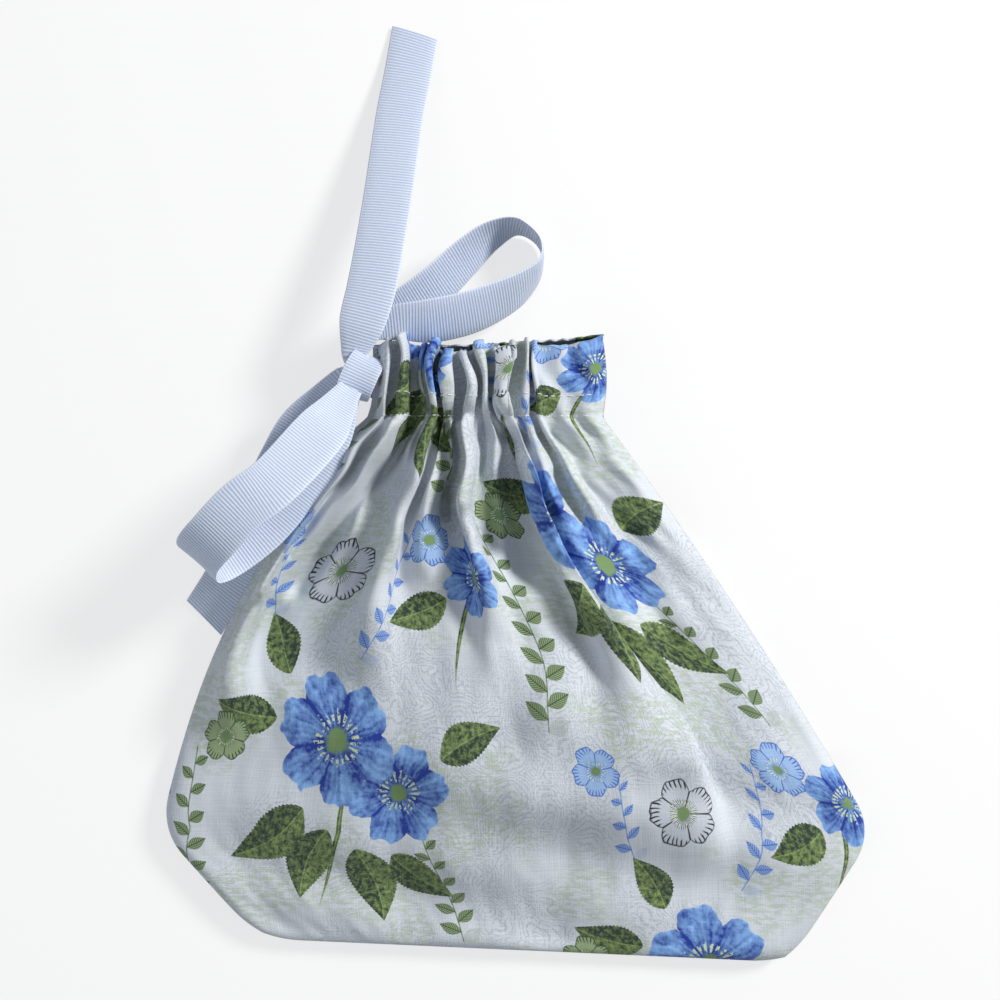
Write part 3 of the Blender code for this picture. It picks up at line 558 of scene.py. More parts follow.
def build_print_group():
    """The printed cotton's colour: sprigs, leaves and blossoms over the washed ground."""
    w, given, out = new_group("Garden print", {"Place": "Vector"}, {"Colour": "Color"})
    x, y = w.split(given["Place"])
    mottle = w.noise(given["Place"], 0.55, 2.5, 0.7)
    blotch = w.noise(given["Place"], 0.16, 2.0)
    shown, covered = GROUND, 0.0

    def nearest(centre, turn):
        place = w.use("Half-drop repeat", X=x, Y=y, Centre_X=centre[0], Centre_Y=centre[1],
                      Turn=math.radians(turn), Repeat_X=REPEAT[0], Repeat_Y=REPEAT[1])
        return {"X": place["X"], "Y": place["Y"]}

    def printed(shown, covered, kind, made, lights="Shade"):
        dark, light = DARK_AND_LIGHT[kind]
        shown = w.mix(made["Mask"], shown, w.mix(made[lights], dark, light))
        return shown, w.math("MAXIMUM", covered, made["Mask"])

    for centre, turn, length, spacing, leaf, bend, kind in SPRIGS:
        made = w.use("Sprig", **nearest(centre, turn), Length=length, Spacing=spacing, Leaf=leaf,
                     Bend=bend)
        shown, covered = printed(shown, covered, kind, made)
    for centre, turn, length, half_width, bend in LEAVES:
        made = w.use("Leaf", **nearest(centre, turn), Mottle=mottle, Length=length,
                     Half_width=half_width, Bend=bend)
        shown, covered = printed(shown, covered, "leaf", made)
    for centre, turn, radius, petals, kind in BLOSSOMS:
        made = w.use("Blossom", **nearest(centre, turn), Mottle=mottle, Blotch=blotch,
                     Radius=radius, Petals=petals)
        shown, covered = printed(shown, covered, kind, made, "Shade" if kind == "deep" else "Lines")
        shown = w.mix(made["Heart"], shown, HEART)
        shown = w.mix(made["Stamens"], shown, STAMEN)

    washed = w.use("Washed ground", Place=given["Place"])
    ground = w.mix(w.math("MULTIPLY", w.noise(given["Place"], 0.03, 2.0), 0.35), GROUND, PALE_GROUND)
    ground = w.mix(w.math("MULTIPLY", washed["Scrolls"], 0.60), ground, SCROLL_GREY)
    ground = w.mix(w.math("MULTIPLY", washed["Brush"], 0.50), ground, BRUSH_GREEN)
    finish_group(w, out, Colour=w.mix(covered, ground, shown))


def new_material(name):
    """An empty Principled material: its wiring and its shader."""
    material = bpy.data.materials.new(name)
    material.use_nodes = True
    return material, Wiring(material.node_tree), material.node_tree.nodes["Principled BSDF"]


def cloth_place(w, moved=(0.0, 0.0, 0.0)):
    """The flat cloth's own coordinates, in millimetres."""
    place = w.add("ShaderNodeUVMap", uv_map="Cloth").outputs[0]
    return w.vector("ADD", place, moved)


def add_bump(w, shader, height, distance, strength=1.0):
    bump = w.add("ShaderNodeBump")
    bump.inputs["Strength"].default_value = strength
    bump.inputs["Distance"].default_value = distance
    w.feed(bump.inputs["Height"], height)
    w.feed(shader.inputs["Normal"], bump.outputs[0])


def make_cotton(name, moved):
    material, w, shader = new_material(name)
    place = cloth_place(w)
    printed = w.use("Garden print", Place=w.vector("ADD", place, moved))["Colour"]
    weave = w.use("Plain weave", Place=place, Pitch=0.46)
    yarns = w.math("MULTIPLY_ADD", weave["Yarn"], 0.30, 0.84)
    # Painted shade in the weave: its low places are up to 4 per cent darker and its thread tops 2 per
    # cent lighter, beside the yarns' own uneven tone.
    threads = w.math("MULTIPLY_ADD", weave["Height"], 0.06, 0.96)
    # The print times the yarns' own uneven tone and the weave's painted shade; no wear is painted
    # here.
    wear_and_weave_shade = w.mix(1.0, printed, w.join(*[w.math("MULTIPLY", yarns, threads)] * 3), "MULTIPLY")
    w.feed(shader.inputs["Base Color"], wear_and_weave_shade)
    w.feed(shader.inputs["Roughness"], w.math("MULTIPLY_ADD", weave["Yarn"], 0.2, 0.74))
    height = w.math("ADD", weave["Height"], w.math("MULTIPLY", weave["Yarn"], 3.0))
    add_bump(w, shader, height, 0.00006, 0.8)
    shader.inputs["Sheen Weight"].default_value = 0.08
    shader.inputs["Sheen Roughness"].default_value = 0.5
    return material


def make_lining():
    material, w, shader = new_material("blue_lining_cotton")
    place = cloth_place(w)
    weave = w.use("Plain weave", Place=place, Pitch=0.40)
    faded = w.noise(place, 0.05, 2.0)
    dyed = w.mix(w.math("MULTIPLY_ADD", weave["Yarn"], 0.6, w.math("MULTIPLY", faded, 0.4)),
                 colour(24, 46, 78), colour(66, 104, 150))
    w.feed(shader.inputs["Base Color"], dyed)
    w.feed(shader.inputs["Roughness"], w.math("MULTIPLY_ADD", weave["Yarn"], 0.2, 0.7))
    add_bump(w, shader, weave["Height"], 0.00005, 0.8)
    shader.inputs["Sheen Weight"].default_value = 0.10
    return material


def make_grosgrain():
    """Pale blue ribbed ribbon, with painted light on each rib's top and painted shade, a darker blue,
    in each groove.
    """
    material, w, shader = new_material("pale_grosgrain")
    along, across = w.split(cloth_place(w))
    # Painted light and shade on the ribs: the colour follows the mesh's own ribs, lighter on each
    # raised top and darker blue in each groove.
    rib = w.math("COSINE", w.math("MULTIPLY", along, 2 * math.pi / (RIB_PITCH * 1000)))
    rib = w.math("MULTIPLY_ADD", rib, 0.5, 0.5)
    threads = w.noise(w.join(w.math("MULTIPLY", along, 0.5), w.math("MULTIPLY", across, 5.0)), 1.0)
    edge = w.mask(w.math("SUBTRACT", w.math("ABSOLUTE", across), RIBBON_WIDTH * 500 - 0.6), 0.3)
    # The threads' own uneven tone, plus the ribs' painted highlight on top and painted shade in the
    # grooves.
    shown = w.mix(w.math("MULTIPLY_ADD", threads, 0.25, w.math("MULTIPLY", rib, 0.8)),
                  colour(160, 177, 211), colour(225, 233, 245))
    shown = w.mix(w.math("MULTIPLY", edge, 0.5), shown, colour(220, 229, 246))
    w.feed(shader.inputs["Base Color"], shown)
    w.feed(shader.inputs["Roughness"], w.math("MULTIPLY_ADD", threads, 0.15, 0.45))
    add_bump(w, shader, threads, 0.00004, 0.6)
    shader.inputs["Sheen Weight"].default_value = 0.15
    return material


def make_thread():
    material, w, shader = new_material("white_thread")
    place = w.add("ShaderNodeTexCoord").outputs["Object"]
    twist = w.add("ShaderNodeTexWave", wave_type="BANDS", bands_direction="DIAGONAL")
    w.feed(twist.inputs["Vector"], place)
    twist.inputs["Scale"].default_value = 900.0
    w.feed(shader.inputs["Base Color"],
           w.mix(twist.outputs["Fac"], colour(205, 210, 215), colour(245, 246, 248)))
    shader.inputs["Roughness"].default_value = 0.55
    return material


# The cloth's shape, worked out as in the part's source

def ease(value, low, high):
    """0 below low, 1 above high, and a smooth rise between."""
    share = np.clip((value - low) / (high - low), 0.0, 1.0)
    return share * share * (3.0 - 2.0 * share)


def blend(low, high, weight):
    return low + (high - low) * weight


def quarter_round(distance, radius):
    """The height of a quarter circle over its foot, as a share of its radius."""
    share = np.clip(distance / radius, 0.0, 1.0)
    return np.sqrt(1.0 - (1.0 - share) ** 2)


def rounded_path(corners, radius, pieces=10):
    """The polyline through corners, each one cut by a smooth curve that starts radius away."""
    corners = [np.array(c, float) for c in corners]
    path = [corners[0]]
    for before, corner, after in zip(corners, corners[1:], corners[2:]):
        start = corner + (before - corner) / np.linalg.norm(before - corner) * radius
        end = corner + (after - corner) / np.linalg.norm(after - corner) * radius
        for t in np.linspace(0.0, 1.0, pieces):
            path.append((1 - t) ** 2 * start + 2 * t * (1 - t) * corner + t * t * end)
    path.append(corners[-1])
    return np.array(path)


def along(path, shares):
    """Points at the given shares of a polyline's length."""
    steps = np.linalg.norm(np.diff(path, axis=0), axis=1)
    travelled = np.concatenate([[0.0], np.cumsum(steps)])
    at = np.asarray(shares, float) * travelled[-1]
    return np.stack([np.interp(at, travelled, path[:, k]) for k in range(2)], axis=-1)


def side_curve(toe, hip, stitch, belly, pieces=24):
    """A side of the bag from the bottom seam, up its cut corner and round its hip to the casing."""
    hip, stitch = np.array(hip), np.array(stitch)
    chord = stitch - hip
    outward = np.array([-chord[1], chord[0]]) / np.linalg.norm(chord)
    if outward[0] * hip[0] < 0:
        outward = -outward
    shares = np.linspace(0.0, 1.0, pieces)[:, None]
    bowed = hip + shares * chord + belly * np.sin(math.pi * shares) * outward
    bowed = bowed[np.linalg.norm(bowed - hip, axis=1) > HIP_ROUND * 1.2]
    side = np.concatenate([rounded_path([toe, hip, bowed[0]], HIP_ROUND), bowed[1:]])
    widened = BAG_WIDTH / 2 / np.abs(side[:, 0]).max()
    side[:, 0] *= blend(widened, 1.0, np.linspace(0.0, 1.0, len(side)) ** 2)
    return side


def outline():
    """The edges of the bag as it lies: bottom, left and right sides, casing line and rim."""
    half = BAG_WIDTH / 2
    left_hip = (-half, -RIM + BOTTOM_SLANT + LEFT_CORNER_UP)
    left_toe = (-half + LEFT_CORNER_ACROSS, -RIM + BOTTOM_SLANT)
    right_hip = (half, -RIM + RIGHT_CORNER_UP)
    right_toe = (half - RIGHT_CORNER_ACROSS, -RIM)
    left = side_curve(left_toe, left_hip, (NECK_LEFT, STITCH_LINE), LEFT_BELLY)
    right = side_curve(right_toe, right_hip, (NECK_RIGHT, STITCH_LINE), RIGHT_BELLY)
    shares = np.linspace(0.0, 1.0, 40)
    rim_heights = RIM - RIM_TURN - RIM_DIP * (1.0 - shares ** 2)
    return {
        "bottom": np.array([left[0], right[0]]),
        "left": left,
        "right": right,
        "stitch": np.array([[NECK_LEFT, STITCH_LINE], [NECK_RIGHT, STITCH_LINE]]),
        "rim": np.stack([NECK_LEFT + NECK_WIDTH * shares, rim_heights], axis=1),
    }


EDGES = outline()


def place_in_plan(share, up, lowered=0.0):
    """Where points lie in plan, from their share of the way across the bag and up its cut."""
    share, up = np.broadcast_arrays(share, up)
    body = np.clip(up / STITCH_UP, 0.0, 1.0)
    casing = np.clip((up - STITCH_UP) / CASING_HEIGHT, 0.0, 1.0)[..., None]
    u, w = share[..., None], body[..., None]
    left, right = EDGES["left"], EDGES["right"]
    edges = (1 - w) * along(EDGES["bottom"], share) + w * along(EDGES["stitch"], share)
    edges = edges + (1 - u) * along(left, body) + u * along(right, body)
    corners = (1 - u) * ((1 - w) * left[0] + w * left[-1]) + u * ((1 - w) * right[0] + w * right[-1])
    rim = along(EDGES["rim"], share)
    rim[..., 1] -= lowered
    edges[..., 0] += CASING_BULGE * np.sin(math.pi * casing[..., 0]) * share ** 6
    shoulder = np.exp(-((up - SHOULDER_UP) / 0.010) ** 2)
    edges[..., 0] -= SHOULDER_BULGE * shoulder * np.clip(1.0 - share, 0.0, 1.0) ** 5
    place = edges - corners + casing * (rim - along(EDGES["stitch"], share))
    for toe, inward in ((left[0], (0.45, 0.85)), (right[0], (-0.62, 0.75))):
        off = np.linalg.norm(place - toe, axis=-1, keepdims=True)
        place = place + TOE_ROUNDING * np.clip(1.0 - off / 0.014, 0.0, 1.0) ** 2 * np.array(inward)
    return place


def rim_step(columns):
    """How far the front's rim lies below the back's, which it meets at both side seams."""
    return FRONT_RIM_STEP * (1.0 - np.abs(2 * columns - 1) ** 6)


def row_width(up):
    """How wide the bag lies at each distance up its cut."""
    row = place_in_plan(np.linspace(0.0, 1.0, 61)[None, :], up[:, None])
    return np.linalg.norm(np.diff(row, axis=1), axis=2).sum(axis=1)


def edge_distance(place):
    """How far each point of a sheet lies, in plan, from the sheet's two sides and its bottom row."""
    edge = np.concatenate([place[::-1, 0], place[0], place[:, -1]])
    nearest = np.full(place.shape[:2], 1.0)
    for start, end in zip(edge, edge[1:]):
        run = end - start
        if run @ run < 1e-18:
            continue
        offset = place - start
        share = np.clip(offset @ run / (run @ run), 0.0, 1.0)
        nearest = np.minimum(nearest, np.linalg.norm(offset - share[..., None] * run, axis=-1))
    return nearest


def cut_width(up):
    """How wide the flat cut is at each distance up it: its bottom corners are cut off."""
    left = LEFT_CORNER_ACROSS * np.clip(1.0 - up / CORNER_LENGTH, 0.0, 1.0)
    right = RIGHT_CORNER_ACROSS * np.clip(1.0 - up / CORNER_LENGTH, 0.0, 1.0)
    return PANEL_WIDTH - left - right


def neckness(up, reach=0.060):
    """1 from the casing line up, falling to 0 at reach below it."""
    return ease(up, STITCH_UP - reach, STITCH_UP)


def seam_height(up):
    """The height of the side seams, from the bottom seam up to the drawn neck."""
    side = blend(SIDE_SEAM_HEIGHT, NECK_SEAM_HEIGHT, neckness(up, 0.085))
    return blend(BOTTOM_SEAM_HEIGHT, side, ease(up, 0.0, 0.020))


def edge_radius(up):
    return blend(SIDE_RISE, NECK_RISE, neckness(up))


def fold_slopes(folds, across, up):
    """How steeply the folds tip the cloth at each point, before its row is drawn to its width."""
    below = np.clip(STITCH_UP - up, 0.0, None)[:, None]
    slope = np.zeros((len(up), len(across)))
    for fold in folds:
        grown = np.clip(below / fold.reach, 0.0, 1.0)
        inside = np.clip((up - STITCH_UP) / CASING_HEIGHT, 0.0, 1.0)[:, None]
        centre = blend(blend(fold.top, fold.foot, grown), fold.rim, inside)
        taken = blend(fold.top_share, fold.foot_share, grown)
        phase = np.clip((across[None, :] - centre) / taken, -0.5, 0.5)
        fade = fold.strength * (1.0 - ease(below, 0.0, fold.reach))
        if fold.kind == "step":
            fade = fade * ease(below, 0.0, 0.3 * fold.reach)
            slope = slope - fade * np.cos(math.pi * phase) ** 2
        else:
            slope = slope - fade * np.sin(2 * math.pi * phase)
    return slope


def draw_rows(folds, up, steepest):
    """Draws each row of cloth to the width that the bag has there.

    Returns the places along the cut, each one's share of the drawn width, and its height above
    the row's lowest valley.
    """
    across = np.linspace(0.0, 1.0, FINE_COLUMNS)
    step = PANEL_WIDTH / (FINE_COLUMNS - 1)
    taken_by_sides = (math.pi - 2) * edge_radius(up)
    target = np.minimum(row_width(up) + taken_by_sides, cut_width(up) * 0.997) / cut_width(up)
    target = target[:, None] * PANEL_WIDTH
    slope = fold_slopes(folds, across, up)
    low = np.zeros_like(target)
    high = np.full_like(target, 8.0)
    for _ in range(26):
        gain = (low + high) / 2
        angle = steepest * np.tanh(gain * slope / steepest)
        too_wide = np.cos(angle).sum(axis=1, keepdims=True) * step > target
        low = np.where(too_wide, gain, low)
        high = np.where(too_wide, high, gain)
    run = np.cumsum(np.cos(angle), axis=1)
    share = (run - run[:, :1]) / (run[:, -1:] - run[:, :1])
    height = np.cumsum(np.sin(angle), axis=1) * step
    height = height - height[:, -1:] * np.clip(share / 0.6, 0.0, 1.0)
    return across, share, height - height.min(axis=1, keepdims=True)


def limit_rows(height, depth):
    """Presses down the folds that would stand higher than depth, without flattening their crests."""
    highest = height
    for reach in (3, 6, 12, 24, 24):
        beside = np.maximum(np.roll(highest, reach, axis=1), np.roll(highest, -reach, axis=1))
        highest = np.maximum(highest, beside)
    soft = sum(np.roll(highest, shift, axis=1) for shift in range(-36, 37, 4)) / 19
    return height * np.minimum(1.0, depth[:, None] / np.maximum(soft, 1e-9))


def front_top(share, up):
    """The fullness of the front between its rounded sides."""
    fullness = ease(up, 0.010, 0.090) * (1.0 - ease(up, 0.110, STITCH_UP))
    return FRONT_PUFF * fullness[:, None] * np.sin(math.pi * np.clip(share, 0.0, 1.0)) ** 1.2


def smoothed(rows, reach):
    """Each row averaged with its neighbours up and down the cloth."""
    padded = np.concatenate([rows[:1]] * reach + [rows] + [rows[-1:]] * reach)
    return sum(padded[k:k + len(rows)] for k in range(2 * reach + 1)) / (2 * reach + 1)


def folds_at(folds, columns, up, depth, steepest):
    """The shares and fold heights of the given cloth columns."""
    across, fine_share, fine_height = draw_rows(folds, up, steepest)
    fine_share, fine_height = smoothed(fine_share, 4), smoothed(fine_height, 4)
    fine_height = limit_rows(fine_height, depth)
    share = np.stack([np.interp(columns, across, row) for row in fine_share])
    height = np.stack([np.interp(columns, across, row) for row in fine_height])
    return share, height


def creased(place):
    """How far the soft creases raise each place of the front."""
    rise = np.zeros(place.shape[:2])
    for crease in CREASES:
        start, end = np.array(crease.start), np.array(crease.end)
        run = end - start
        share = np.clip((place - start) @ run / (run @ run), 0.0, 1.0)
        off = np.linalg.norm(place - start - share[..., None] * run, axis=-1)
        wide = blend(crease.start_width, crease.end_width, share)
        rise += crease.rise * np.exp(-(off / wide) ** 2)
    return rise


def wrinkled(across, up, seed, count, longest, shortest, slant):
    """Small smooth waves over the flat cut, between about -1 and 1, drawn out along the folds."""
    chance = np.random.default_rng(seed)
    x, y = across * PANEL_WIDTH, up[:, None]
    waves = np.zeros((len(up), x.shape[-1]))
    for _ in range(count):
        size = 2 * math.pi / chance.uniform(shortest, longest)
        heading = chance.normal(0.0, slant)
        phase, shift = chance.uniform(0.0, 2 * math.pi, 2)
        bend = 0.6 * np.sin(y * size * 0.4 + shift)
        waves += np.sin((x * math.cos(heading) + y * math.sin(heading)) * size + phase + bend)
    return waves / math.sqrt(count)


def front_surface(columns, up):
    """The outer face of the front panel, as rows of points."""
    depth = blend(FRONT_FOLD_DEPTH, FRONT_RUFFLE_DEPTH, neckness(up, 0.030))
    share, height = folds_at(FRONT_FOLDS, columns, up, depth, FRONT_STEEPEST)
    inside = np.clip((up - STITCH_UP) / CASING_HEIGHT, 0.0, 1.0)
    pinched = STITCH_PINCH * np.exp(-((up - STITCH_UP) / 0.0040) ** 2)
    height = height * (1.0 + CASING_DOME * np.sin(math.pi * inside) - pinched)[:, None]
    place = place_in_plan(share, up[:, None], rim_step(share))
    distance = edge_distance(place)
    radius = edge_radius(up)[:, None]
    rounding = quarter_round(distance, radius)
    opening = OPEN_SEAM * ease(up, STITCH_UP - 0.008, STITCH_UP)[:, None]
    opening = opening * np.clip(1.0 - share, 0.0, 1.0) ** 8
    foot = seam_height(up)[:, None] + SEAM_GAP / 2 + opening
    inner = ease(distance, 0.0, 0.007)
    neck = neckness(up, 0.090)[:, None]
    small = wrinkled(columns[None, :], up, 5, 9, 0.016, 0.007, 0.25)
    small = small * blend(SMALL_WAVE_BODY, SMALL_WAVE_NECK, neck)
    broad = wrinkled(columns[None, :], up, 8, 7, 0.060, 0.028, 0.9) * BROAD_WAVE
    sunk = FRONT_SINK * neck * (1.0 - ease(up, STITCH_UP - 0.008, STITCH_UP)[:, None])
    lying = radius - opening + front_top(share, up) - sunk
    lying = lying + (height + creased(place) + small + broad) * inner
    pulled = STITCH_PULL * np.exp(-((up - STITCH_UP) / 0.0014) ** 2)[:, None]
    seam = SEAM_GROOVE * np.exp(-((columns - SEAM_ACROSS) / 0.0030) ** 2)[None, :] * inside[:, None]
    z = foot + np.maximum(lying - (pulled + seam) * inner, 0.001) * rounding
    forward = np.interp(columns, RIM_PLACES, RIM_FORWARD)[None, :]
    forward = forward + RIM_SCALLOP * (height / FRONT_RUFFLE_DEPTH - 0.5)
    away = ease(distance, 0.0, 0.010)
    x, y = place[..., 0].copy(), place[..., 1].copy()
    sway = 0.0012 * np.sin(330.0 * x + 210.0 * y + 1.3) + 0.0010 * np.sin(190.0 * x - 290.0 * y + 4.1)
    place[..., 0] += sway * away * (neckness(up, 0.060) * blend(0.40, 1.0, inside))[:, None]
    place[..., 1] += ease(up, STITCH_UP, PANEL_HEIGHT)[:, None] * forward * away
    return np.concatenate([place, z[..., None]], axis=2)


def back_surface(columns, up):
    """The outer face of the back panel, which lies on the floor."""
    depth = np.full(len(up), BACK_RUFFLE_DEPTH)
    share, height = folds_at(BACK_FOLDS, columns, up, depth, BACK_STEEPEST)
    place = place_in_plan(share, up[:, None])
    rounding = quarter_round(edge_distance(place), edge_radius(up)[:, None])
    opening = OPEN_SEAM * ease(up, STITCH_UP - 0.008, STITCH_UP)[:, None] * (1.0 - share) ** 8
    foot = seam_height(up)[:, None] - SEAM_GAP / 2 - opening
    lift = neckness(up)[:, None] * (BACK_NECK_LIFT - height)
    z = blend(foot, lift, rounding)
    return np.concatenate([place, z[..., None]], axis=2)


def lining_surface(columns, up, front):
    """The outer face of one side of the lining."""
    width = row_width(up)[:, None]
    inset = blend(LINING_INSET, LINING_NECK_INSET, neckness(up, 0.030))[:, None]
    depth = np.full(len(up), LINING_RUFFLE_DEPTH)
    drawn, height = folds_at(LINING_FOLDS, columns, up, depth, FRONT_STEEPEST)
    share = (inset + drawn * (width - 2 * inset)) / width
    place = place_in_plan(share, up[:, None], rim_step(columns) if front else 0.0)
    radius = blend(SIDE_RISE, NECK_RISE * 0.7, neckness(up))[:, None]
    rounding = quarter_round(edge_distance(place), radius)
    seam = seam_height(up)[:, None]
    if front:
        rise = blend(LINING_RISE, LINING_NECK_RISE, neckness(up))[:, None]
        slack = LINING_PUFF_GAP * ease(front_top(share, up), 0.0, 0.008)
        z = seam + rounding * (rise + front_top(share, up) - slack - (depth[:, None] - height))
    else:
        floor = blend(LINING_FLOOR, LINING_NECK_FLOOR, neckness(up))[:, None]
        z = blend(seam, floor, rounding) + height * rounding
    return np.concatenate([place, z[..., None]], axis=2)


def press_under(lining, cotton, gap):
    """The lining's front, pressed down where the cotton that lies over it is lower."""
    def cells(points):
        cell = np.floor(points[..., :2] / 0.002).astype(int) + 80
        return cell[..., 0], cell[..., 1]

    lowest = np.full((160, 160), 1.0)
    np.minimum.at(lowest, cells(cotton), cotton[..., 2])
    for axis in (0, 1):
        lowest = np.minimum(lowest, np.minimum(np.roll(lowest, 1, axis), np.roll(lowest, -1, axis)))
    inside = np.ones(lining.shape[:2], bool)
    inside[:, [0, -1]] = False
    inside[0] = inside[-1] = False
    under = np.minimum(lining[..., 2], lowest[cells(lining)] - gap)
    lining[..., 2] = np.where(inside, under, lining[..., 2])
    return lining


def turn_in_rim(rows, lining_rim, side):
    """Adds a panel's turned-in edge past its rim, to the height of the lining's own rim."""
    rim = rows[-1]
    fall = lining_rim[:, 2] + side * SEAM_GAP / 2 - rim[:, 2]
    added = []
    for turn in np.linspace(0.0, math.pi / 2, 7)[1:]:
        point = rim.copy()
        point[:, 1] += RIM_TURN * math.sin(turn)
        point[:, 2] += fall * (1.0 - math.cos(turn))
        added.append(point)
    return np.concatenate([rows, np.array(added)])


def rim_below(panel_rim, lining_rim):
    """The lining's rim, read at the places of the panel's rim."""
    return np.stack([np.interp(panel_rim[:, 0], lining_rim[:, 0], lining_rim[:, k])
                     for k in range(3)], axis=1)


# Meshes of the cloth

def grid_piece(name, rows, places, material, upwards=True):
    """A sheet from rows of points, with its flat cloth places in millimetres as its UV map."""
    rows, places = np.asarray(rows, float), np.asarray(places, float)
    high, wide = rows.shape[:2]
    index = np.arange(high * wide).reshape(high, wide)
    quads = np.stack([index[:-1, :-1], index[:-1, 1:], index[1:, 1:], index[1:, :-1]], axis=-1)
    quads = quads.reshape(-1, 4)
    if not upwards:
        quads = quads[:, ::-1]
    mesh = bpy.data.meshes.new(name)
    mesh.from_pydata(rows.reshape(-1, 3), [], quads)
    flat = places.reshape(-1, 2)[quads.reshape(-1)]
    mesh.uv_layers.new(name="Cloth").data.foreach_set("uv", flat.reshape(-1))
    mesh.materials.append(material)
    mesh.shade_smooth()
    piece = bpy.data.objects.new(name, mesh)
    bpy.context.scene.collection.objects.link(piece)
    return piece


def only(piece):
    """Selects one object alone."""
    bpy.ops.object.select_all(action="DESELECT")
    piece.select_set(True)
    bpy.context.view_layer.objects.active = piece


def thicken(piece, thickness, offset=-1.0):
    only(piece)
    shell = piece.modifiers.new("Cloth thickness", "SOLIDIFY")
    shell.thickness = thickness
    shell.offset = offset
    bpy.ops.object.modifier_apply(modifier=shell.name)
    piece.data.shade_smooth()
    return piece


def merge_seams(piece, distance):
    only(piece)
    bpy.ops.object.mode_set(mode="EDIT")
    bpy.ops.mesh.select_all(action="SELECT")
    bpy.ops.mesh.remove_doubles(threshold=distance)
    bpy.ops.object.mode_set(mode="OBJECT")


def spaced_columns(count):
    """Columns from 0 to 1, closer together where the sides are rounded."""
    even = np.linspace(-1.0, 1.0, count)
    return 0.5 + 0.5 * (even + 0.06 * np.sin(math.pi * even))


def spaced_rows(finish, count):
    """Rows up the cut, closer together at the bottom seam."""
    even = np.linspace(0.0, 1.0, count)
    return finish * (even - 0.10 * np.sin(math.pi * even) * (1.0 - even) ** 2)


def flat_places(columns, up, added=0):
    """Each grid point's place on the flat cloth, in millimetres, with rows added past the rim."""
    rows = np.concatenate([up, up[-1] + RIM_TURN * np.arange(1, added + 1) / 3.0])
    narrowed = cut_width(rows)[:, None] / PANEL_WIDTH
    across = (0.5 + (columns[None, :] - 0.5) * narrowed) * PANEL_WIDTH
    return np.stack(np.broadcast_arrays(across, rows[:, None]), axis=-1) * 1000.0


def make_cloth(cotton_front, cotton_back, blue):
    """The two printed panels and the lining, replacing their plain solids."""
    lining_up = LINING_INSET + spaced_rows(PANEL_HEIGHT - 0.001 - LINING_INSET, 56)
    lining_columns = spaced_columns(96)
    lining_front = lining_surface(lining_columns, lining_up, True)
    lining_back = lining_surface(lining_columns, lining_up, False)

    columns, up = spaced_columns(262), spaced_rows(PANEL_HEIGHT, 158)
    rows = front_surface(columns, up)
    press_under(lining_front, rows[(up > 0.020) & (up < STITCH_UP + 0.010)], COTTON + 0.0006)
    rows = turn_in_rim(rows, rim_below(rows[-1], lining_front[-1]), 1)
    front = grid_piece("cotton_front_panel", rows, flat_places(columns, up, 6), cotton_front)
    front_rows = rows
    thicken(front, COTTON)

    back_columns, back_up = spaced_columns(180), spaced_rows(PANEL_HEIGHT, 100)
    rows = back_surface(back_columns, back_up)
    rows = turn_in_rim(rows, rim_below(rows[-1], lining_back[-1]), -1)
    back = grid_piece("cotton_back_panel", rows, flat_places(back_columns, back_up, 6),
                      cotton_back, upwards=False)
    thicken(back, COTTON)

    places = flat_places(lining_columns, lining_up)
    lining = grid_piece("lining_bag", lining_front, places, blue)
    other = grid_piece("lining_back", lining_back, places, blue, upwards=False)
    only(lining)
    other.select_set(True)
    bpy.ops.object.join()
    merge_seams(lining, 0.00005)
    thicken(lining, LINING_COTTON)

    for piece, node, slot_name in ((front, "outer_front_panel", "printed_cotton"),
                                   (back, "outer_back_panel", "printed_cotton")):
        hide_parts(node)
        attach(piece, "root")
    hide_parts("lining")
    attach(lining, "root")
    return columns, up, front_rows


# The ribbon

def smooth_route(points, step):
    """Evenly spaced points on a smooth curve through a list of points of any dimension."""
    points = np.array(points, float)
    padded = np.concatenate([2 * points[:1] - points[1:2], points, 2 * points[-1:] - points[-2:-1]])
    curve = []
    for a, b, c, d in zip(padded, padded[1:], padded[2:], padded[3:]):
        for t in np.linspace(0.0, 1.0, 40, endpoint=False):
            curve.append(0.5 * (2 * b + (c - a) * t + (2 * a - 5 * b + 4 * c - d) * t * t
                                + (3 * b - a - 3 * c + d) * t ** 3))
    curve = np.array(curve + [points[-1]])
    lengths = np.linalg.norm(np.diff(curve[:, :3], axis=0), axis=1)
    travelled = np.concatenate([[0.0], np.cumsum(lengths)])
    count = max(4, round(travelled[-1] / step))
    at = np.linspace(0.0, travelled[-1], count + 1)
    return np.stack([np.interp(at, travelled, curve[:, k]) for k in range(curve.shape[1])], axis=1)


def width_direction(heading, lean):
    heading, lean = math.radians(heading), math.radians(lean)
    return (math.cos(heading) * math.cos(lean), math.sin(heading) * math.cos(lean), math.sin(lean))


def route_of(points, ends_in_knot):
    """A route's middle, width direction and width, with each end at the knot led into it."""
    told = [(KNOT_CENTRE[0] + p.x, KNOT_CENTRE[1] + p.y, p.z,
             *width_direction(p.heading, p.lean), p.width * RIBBON_WIDTH) for p in points]

    def led_in(end):
        inner = Vector(end[:3]).lerp(Vector(KNOT_CENTRE), 0.45)
        return (*inner, *end[3:6], end[6] * 0.9)

    return [led_in(told[0])] + told + ([led_in(told[-1])] if ends_in_knot else [])


